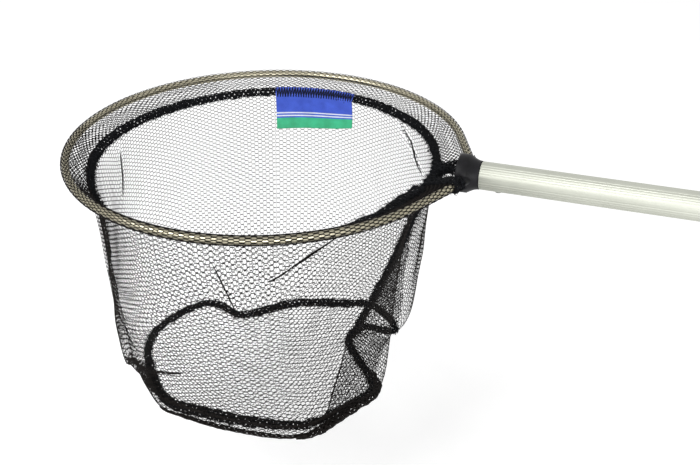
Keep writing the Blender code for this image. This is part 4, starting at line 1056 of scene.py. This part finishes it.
# Pressed head: bright, with fine draw marks about 0.3 mm apart.
spot_in = add_node(tree, "ShaderNodeTexCoord", out="Object")
marks = add_node(tree, "ShaderNodeTexNoise", {"Vector": spot_in, "Scale": 3300.0, "Detail": 2.0})
tone = add_node(tree, "ShaderNodeValToRGB", {"Fac": marks})
gloss = add_node(tree, "ShaderNodeMapRange", {"Value": marks, "To Min": 0.22, "To Max": 0.4})
fill(tree, shader, {"Base Color": two_tones(tone, "#b9b9b6", "#d9d9d6"), "Roughness": gloss,
                    "Metallic": 1.0})
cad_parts["socket_rivet"].material_slots[0].material = rivet_metal


# Front tube: extruded aluminium, 22 mm across with a 1 mm wall. Five bands of four fine flutes run
# its whole length, so that wet hands don't slip. Satin anodised.

TUBE_START, TUBE_END = 179.3, 739.3
TUBE_EDGE = 0.3
FLUTE_BANDS, FLUTES, FLUTE_PITCH, FLUTE_WIDTH, FLUTE_DEPTH = 5, 4, 2.25, 1.0, 0.2
FLUTE_PHASE = math.radians(59.5)

anodised, tree, shader = new_material("satin anodised aluminium")
# Extrusion leaves straight die lines about 0.5 mm apart and metres long. Anodising greys them and
# turns the metal a little warm, with faint handling marks across.
place = add_node(tree, "ShaderNodeUVMap", uv_map="flat")
stretched = add_node(tree, "ShaderNodeMapping", {"Vector": place, "Scale": (4.0, 2000.0, 1.0)})
lines = add_node(tree, "ShaderNodeTexNoise", {"Vector": stretched, "Scale": 1.0, "Detail": 4.0,
                                              "Roughness": 0.6})
spot_in = add_node(tree, "ShaderNodeTexCoord", out="Object")
marks = add_node(tree, "ShaderNodeTexNoise", {"Vector": spot_in, "Scale": 45.0, "Detail": 6.0,
                                              "Roughness": 0.65})
worn = add_node(tree, "ShaderNodeMath", {0: marks, 1: 0.35, 2: lines}, operation="MULTIPLY_ADD")
tone = add_node(tree, "ShaderNodeValToRGB", {"Fac": worn})
gloss = add_node(tree, "ShaderNodeMapRange", {"Value": worn, "From Min": 0.4, "From Max": 1.0,
                                              "To Min": 0.48, "To Max": 0.6})
bump = add_node(tree, "ShaderNodeBump", {"Height": lines, "Strength": 0.2, "Distance": 0.0001})
fill(tree, shader, {"Base Color": two_tones(tone, "#b4b6ab", "#cfd1c7", 0.4, 0.95),
                    "Roughness": gloss, "Normal": bump, "Metallic": 1.0})


def fluted(turn, station, radius):
    """The outer radius at an angle, lower in the flutes; the bore stays round."""
    if radius < TUBE_RADIUS - 0.5:
        return radius
    pitch = FLUTE_PITCH / TUBE_RADIUS
    band = 2 * math.pi / FLUTE_BANDS
    off = (turn - FLUTE_PHASE + band / 2) % band - band / 2
    flute = min(max(round(off / pitch + (FLUTES - 1) / 2), 0), FLUTES - 1)
    share = (off - (flute - (FLUTES - 1) / 2) * pitch) * TUBE_RADIUS / (FLUTE_WIDTH / 2)
    return radius - FLUTE_DEPTH * max(0.0, 1.0 - share * share)


def tube_outline(start, end, bore, radius, chamfer):
    """A tube's outline, with a small chamfer on its outer edges."""
    return [(start, bore), (start, radius - chamfer), (start + TUBE_EDGE, radius), (end - TUBE_EDGE, radius),
            (end, radius - chamfer), (end, bore)]


outline = tube_outline(TUBE_START, TUBE_END, TUBE_BORE, TUBE_RADIUS, 0.25)
front_tube = turned("front_tube_fluted", outline, anodised, steps=480, radius_at=fluted)
keep_all([front_tube], "front_tube")


# Twist lock: a nylon plug in the front tube's rear end with an off-centre journal, a split nylon
# ring that turns on it and jams in the rear tube, and a zinc plated screw that keeps the ring on.

nylon, tree, shader = new_material("natural moulded nylon")
# Off-white and a little waxy, with flow marks some 4 mm long.
spot_in = add_node(tree, "ShaderNodeTexCoord", out="Object")
flow = add_node(tree, "ShaderNodeTexNoise", {"Vector": spot_in, "Scale": 250.0, "Detail": 3.0})
tone = add_node(tree, "ShaderNodeValToRGB", {"Fac": flow})
gloss = add_node(tree, "ShaderNodeMapRange", {"Value": flow, "To Min": 0.35, "To Max": 0.55})
fill(tree, shader, {"Base Color": two_tones(tone, "#d8d2c2", "#ece8dc"), "Roughness": gloss,
                    "IOR": 1.53, "Subsurface Weight": 0.1, "Subsurface Radius": (0.002, 0.0015, 0.001)})
for name in ("lock_plug", "lock_ring"):
    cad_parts[name].material_slots[0].material = nylon

zinc, tree, shader = new_material("zinc plated steel screw")
# Bright zinc with a slight blue cast and cloudy patches about 1.5 mm across.
spot_in = add_node(tree, "ShaderNodeTexCoord", out="Object")
clouds = add_node(tree, "ShaderNodeTexNoise", {"Vector": spot_in, "Scale": 650.0, "Detail": 4.0})
tone = add_node(tree, "ShaderNodeValToRGB", {"Fac": clouds})
gloss = add_node(tree, "ShaderNodeMapRange", {"Value": clouds, "To Min": 0.24, "To Max": 0.42})
fill(tree, shader, {"Base Color": two_tones(tone, "#a9adb5", "#cdd1d8"), "Roughness": gloss,
                    "Metallic": 1.0})
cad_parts["lock_screw"].material_slots[0].material = zinc


# Rear tube: plain drawn aluminium tube, 25.4 mm across, anodised like the front tube, which slides
# into it.

REAR_START, REAR_END = 399.3, 999.3
REAR_RADIUS, REAR_BORE = 12.7, 11.5
outline = tube_outline(REAR_START, REAR_END, REAR_BORE, REAR_RADIUS, TUBE_EDGE)
keep_all([turned("rear_tube_plain", outline, anodised, steps=120)], "rear_tube", "rear_section")


# Guide collar: a black moulded sleeve pressed over the rear tube's front end. Its lip guides the
# front tube, and raised ribs give the fingers a hold to twist it.

SLEEVE_BORE = REAR_RADIUS + 0.3
COLLAR_WALL, COLLAR_EDGE = 1.9, 0.95
COLLAR_RADIUS = SLEEVE_BORE + COLLAR_WALL
NOSE = REAR_BORE + COLLAR_WALL
COLLAR_RIBS, RIB_HEIGHT = 16, 0.7
COLLAR_FRONT, COLLAR_SEAT, COLLAR_BACK = 391.0, 399.0, 431.3


def ribbed(turn, station, radius):
    """Round-topped ribs along the collar's sleeve."""
    if radius < COLLAR_RADIUS - 0.01 or not COLLAR_SEAT + 0.9 < station < COLLAR_BACK - 1.8:
        return radius
    share = (turn * COLLAR_RIBS / (2 * math.pi)) % 1.0
    return radius + RIB_HEIGHT * min(1.0, max(0.0, math.cos((share - 0.35) * 2 * math.pi) * 2.2 + 0.35))


outline = [(COLLAR_FRONT, REAR_BORE), (COLLAR_FRONT, NOSE - COLLAR_EDGE), (COLLAR_FRONT + 0.3, NOSE - 0.3),
           (COLLAR_FRONT + COLLAR_EDGE, NOSE), (COLLAR_SEAT, COLLAR_RADIUS)]
outline += [(station, COLLAR_RADIUS) for station in (
    COLLAR_SEAT + COLLAR_EDGE, COLLAR_SEAT + 2.4, COLLAR_BACK - 3.0, COLLAR_BACK - 2 * COLLAR_EDGE,
    COLLAR_BACK - COLLAR_EDGE)]
outline += [(COLLAR_BACK - 0.3, COLLAR_RADIUS - 0.3), (COLLAR_BACK, COLLAR_RADIUS - COLLAR_EDGE),
            (COLLAR_BACK, SLEEVE_BORE), (COLLAR_SEAT, SLEEVE_BORE), (COLLAR_SEAT, REAR_BORE)]
collar = turned("guide_collar_ribbed", outline, moulded, steps=192, radius_at=ribbed)
keep_all([collar], "guide_collar", "rear_section")


# Grip: a soft sleeve of black thermoplastic rubber, pushed on to the rear tube, with seven round
# grooves across it.

GRIP_START, GRIP_END, GRIP_GROOVES, GROOVE_DEPTH = 847.0, 977.0, 7, 0.8
GRIP_RADIUS = SLEEVE_BORE + 3.0
GRIP_EDGE = 1.5
GROOVE_HALF = 2.0

rubber, tree, shader = new_material("black thermoplastic rubber")
# Matt skin with a leathery moulded grain of about 1 mm, greyer where it rubs.
spot_in = add_node(tree, "ShaderNodeTexCoord", out="Object")
pebbles = add_node(tree, "ShaderNodeTexVoronoi", {"Vector": spot_in, "Scale": 900.0})
rubbed = add_node(tree, "ShaderNodeTexNoise", {"Vector": spot_in, "Scale": 70.0, "Detail": 5.0})
tone = add_node(tree, "ShaderNodeValToRGB", {"Fac": rubbed})
bump = add_node(tree, "ShaderNodeBump", {"Height": pebbles, "Strength": 0.45, "Distance": 0.0002})
fill(tree, shader, {"Base Color": two_tones(tone, "#1d1d1e", "#333335", 0.35, 0.75), "Roughness": 0.72,
                    "Normal": bump, "IOR": 1.5, "Sheen Weight": 0.1})

outline = [(GRIP_START, SLEEVE_BORE)] + edge_round(GRIP_START, GRIP_RADIUS, GRIP_EDGE, -1)
for ring in range(1, GRIP_GROOVES + 1):
    middle = GRIP_START + (GRIP_END - GRIP_START) * ring / (GRIP_GROOVES + 1)
    for share in np.linspace(-1, 1, 9):
        deep = GROOVE_DEPTH * (0.5 + 0.5 * math.cos(math.pi * share))
        outline.append((middle + GROOVE_HALF * share, GRIP_RADIUS - deep))
outline += edge_round(GRIP_END, GRIP_RADIUS, GRIP_EDGE, 1) + [(GRIP_END, SLEEVE_BORE)]
keep_all([turned("grip_sleeve", outline, rubber)], "grip", "rear_section")


# End cap: a moulded cap over the rear tube's end, with a hole across it to hang the net by. Its
# CAD shape is kept.

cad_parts["end_cap"].material_slots[0].material = moulded


# Studio: a plain pale floor, a white surround that metal also mirrors, and broad soft light. The
# camera stands where the photograph was taken from.

FLOOR_Z, FLOOR_HALF = -0.30, 12


def seen_rays(tree):
    """1 for rays that the camera sees by, also in or through a surface, and 0 for those that only light."""
    rays = add_node(tree, "ShaderNodeLightPath").node.outputs
    seen = rays["Is Camera Ray"]
    for kind in ("Is Glossy Ray", "Is Transmission Ray"):
        seen = add_node(tree, "ShaderNodeMath", {0: seen, 1: rays[kind]}, operation="MAXIMUM")
    return seen


floor_material, tree, shader = new_material("white studio floor")
# Matt white card. A little glow of its own, for rays that the camera sees by, keeps it even.
lift = add_node(tree, "ShaderNodeMath", {0: seen_rays(tree), 1: 0.38}, operation="MULTIPLY")
fill(tree, shader, {"Base Color": linear("#ececec"), "Roughness": 0.9, "Specular IOR Level": 0.0,
                    "Emission Color": linear("#ffffff"), "Emission Strength": lift})
mesh = bpy.data.meshes.new("studio_floor")
corners = ((-1, -1), (1, -1), (1, 1), (-1, 1))
mesh.from_pydata([(x * FLOOR_HALF, y * FLOOR_HALF, FLOOR_Z) for x, y in corners], [], [(0, 1, 2, 3)])
mesh.materials.append(floor_material)
floor = bpy.data.objects.new("studio_floor", mesh)
bpy.context.scene.collection.objects.link(floor)

world = bpy.data.worlds.new("white studio")
world.use_nodes = True
bpy.context.scene.world = world
tree = world.node_tree
level = add_node(tree, "ShaderNodeMapRange", {"Value": seen_rays(tree), "To Min": 0.62, "To Max": 1.0})
fill(tree, tree.nodes["Background"], {"Color": linear("#ffffff"), "Strength": level})

for name, place, aim, wide, high, watts in (
        ("key_softbox", (-1.9, -1.5, 1.4), (-0.85, 0.0, -0.08), 1.5, 1.2, 30.0),
        ("fill_softbox", (0.3, -2.2, 0.25), (-0.6, 0.0, -0.03), 1.8, 0.8, 26.0)):
    lamp = bpy.data.lights.new(name, "AREA")
    lamp.shape = "RECTANGLE"
    lamp.size, lamp.size_y = wide, high
    lamp.energy = watts
    holder = bpy.data.objects.new(name, lamp)
    holder.location = place
    holder.rotation_euler = (Vector(aim) - Vector(place)).to_track_quat("-Z", "Y").to_euler()
    bpy.context.scene.collection.objects.link(holder)

PHOTO_WIDTH, FOCAL_PIXELS = 700.0, 1124.79
lens = bpy.data.cameras.new("camera")
lens.sensor_width = 36.0
lens.lens = lens.sensor_width * FOCAL_PIXELS / PHOTO_WIDTH
lens.clip_start = 0.01
camera = bpy.data.objects.new("camera", lens)
camera.location = (-0.56958, -0.76669, 0.38012)
right = Vector((0.94412, 0.32954, -0.00606))
up = Vector((-0.15439, 0.4584, 0.87523))
forward = Vector((-0.2912, 0.82539, -0.48366))
camera.rotation_mode = "QUATERNION"
turned_to = np.array([right, up, -forward]).T
camera.rotation_quaternion = Matrix(turned_to.tolist()).to_quaternion()
bpy.context.scene.collection.objects.link(camera)
bpy.context.scene.camera = camera
bpy.context.scene.view_settings.view_transform = "Standard"
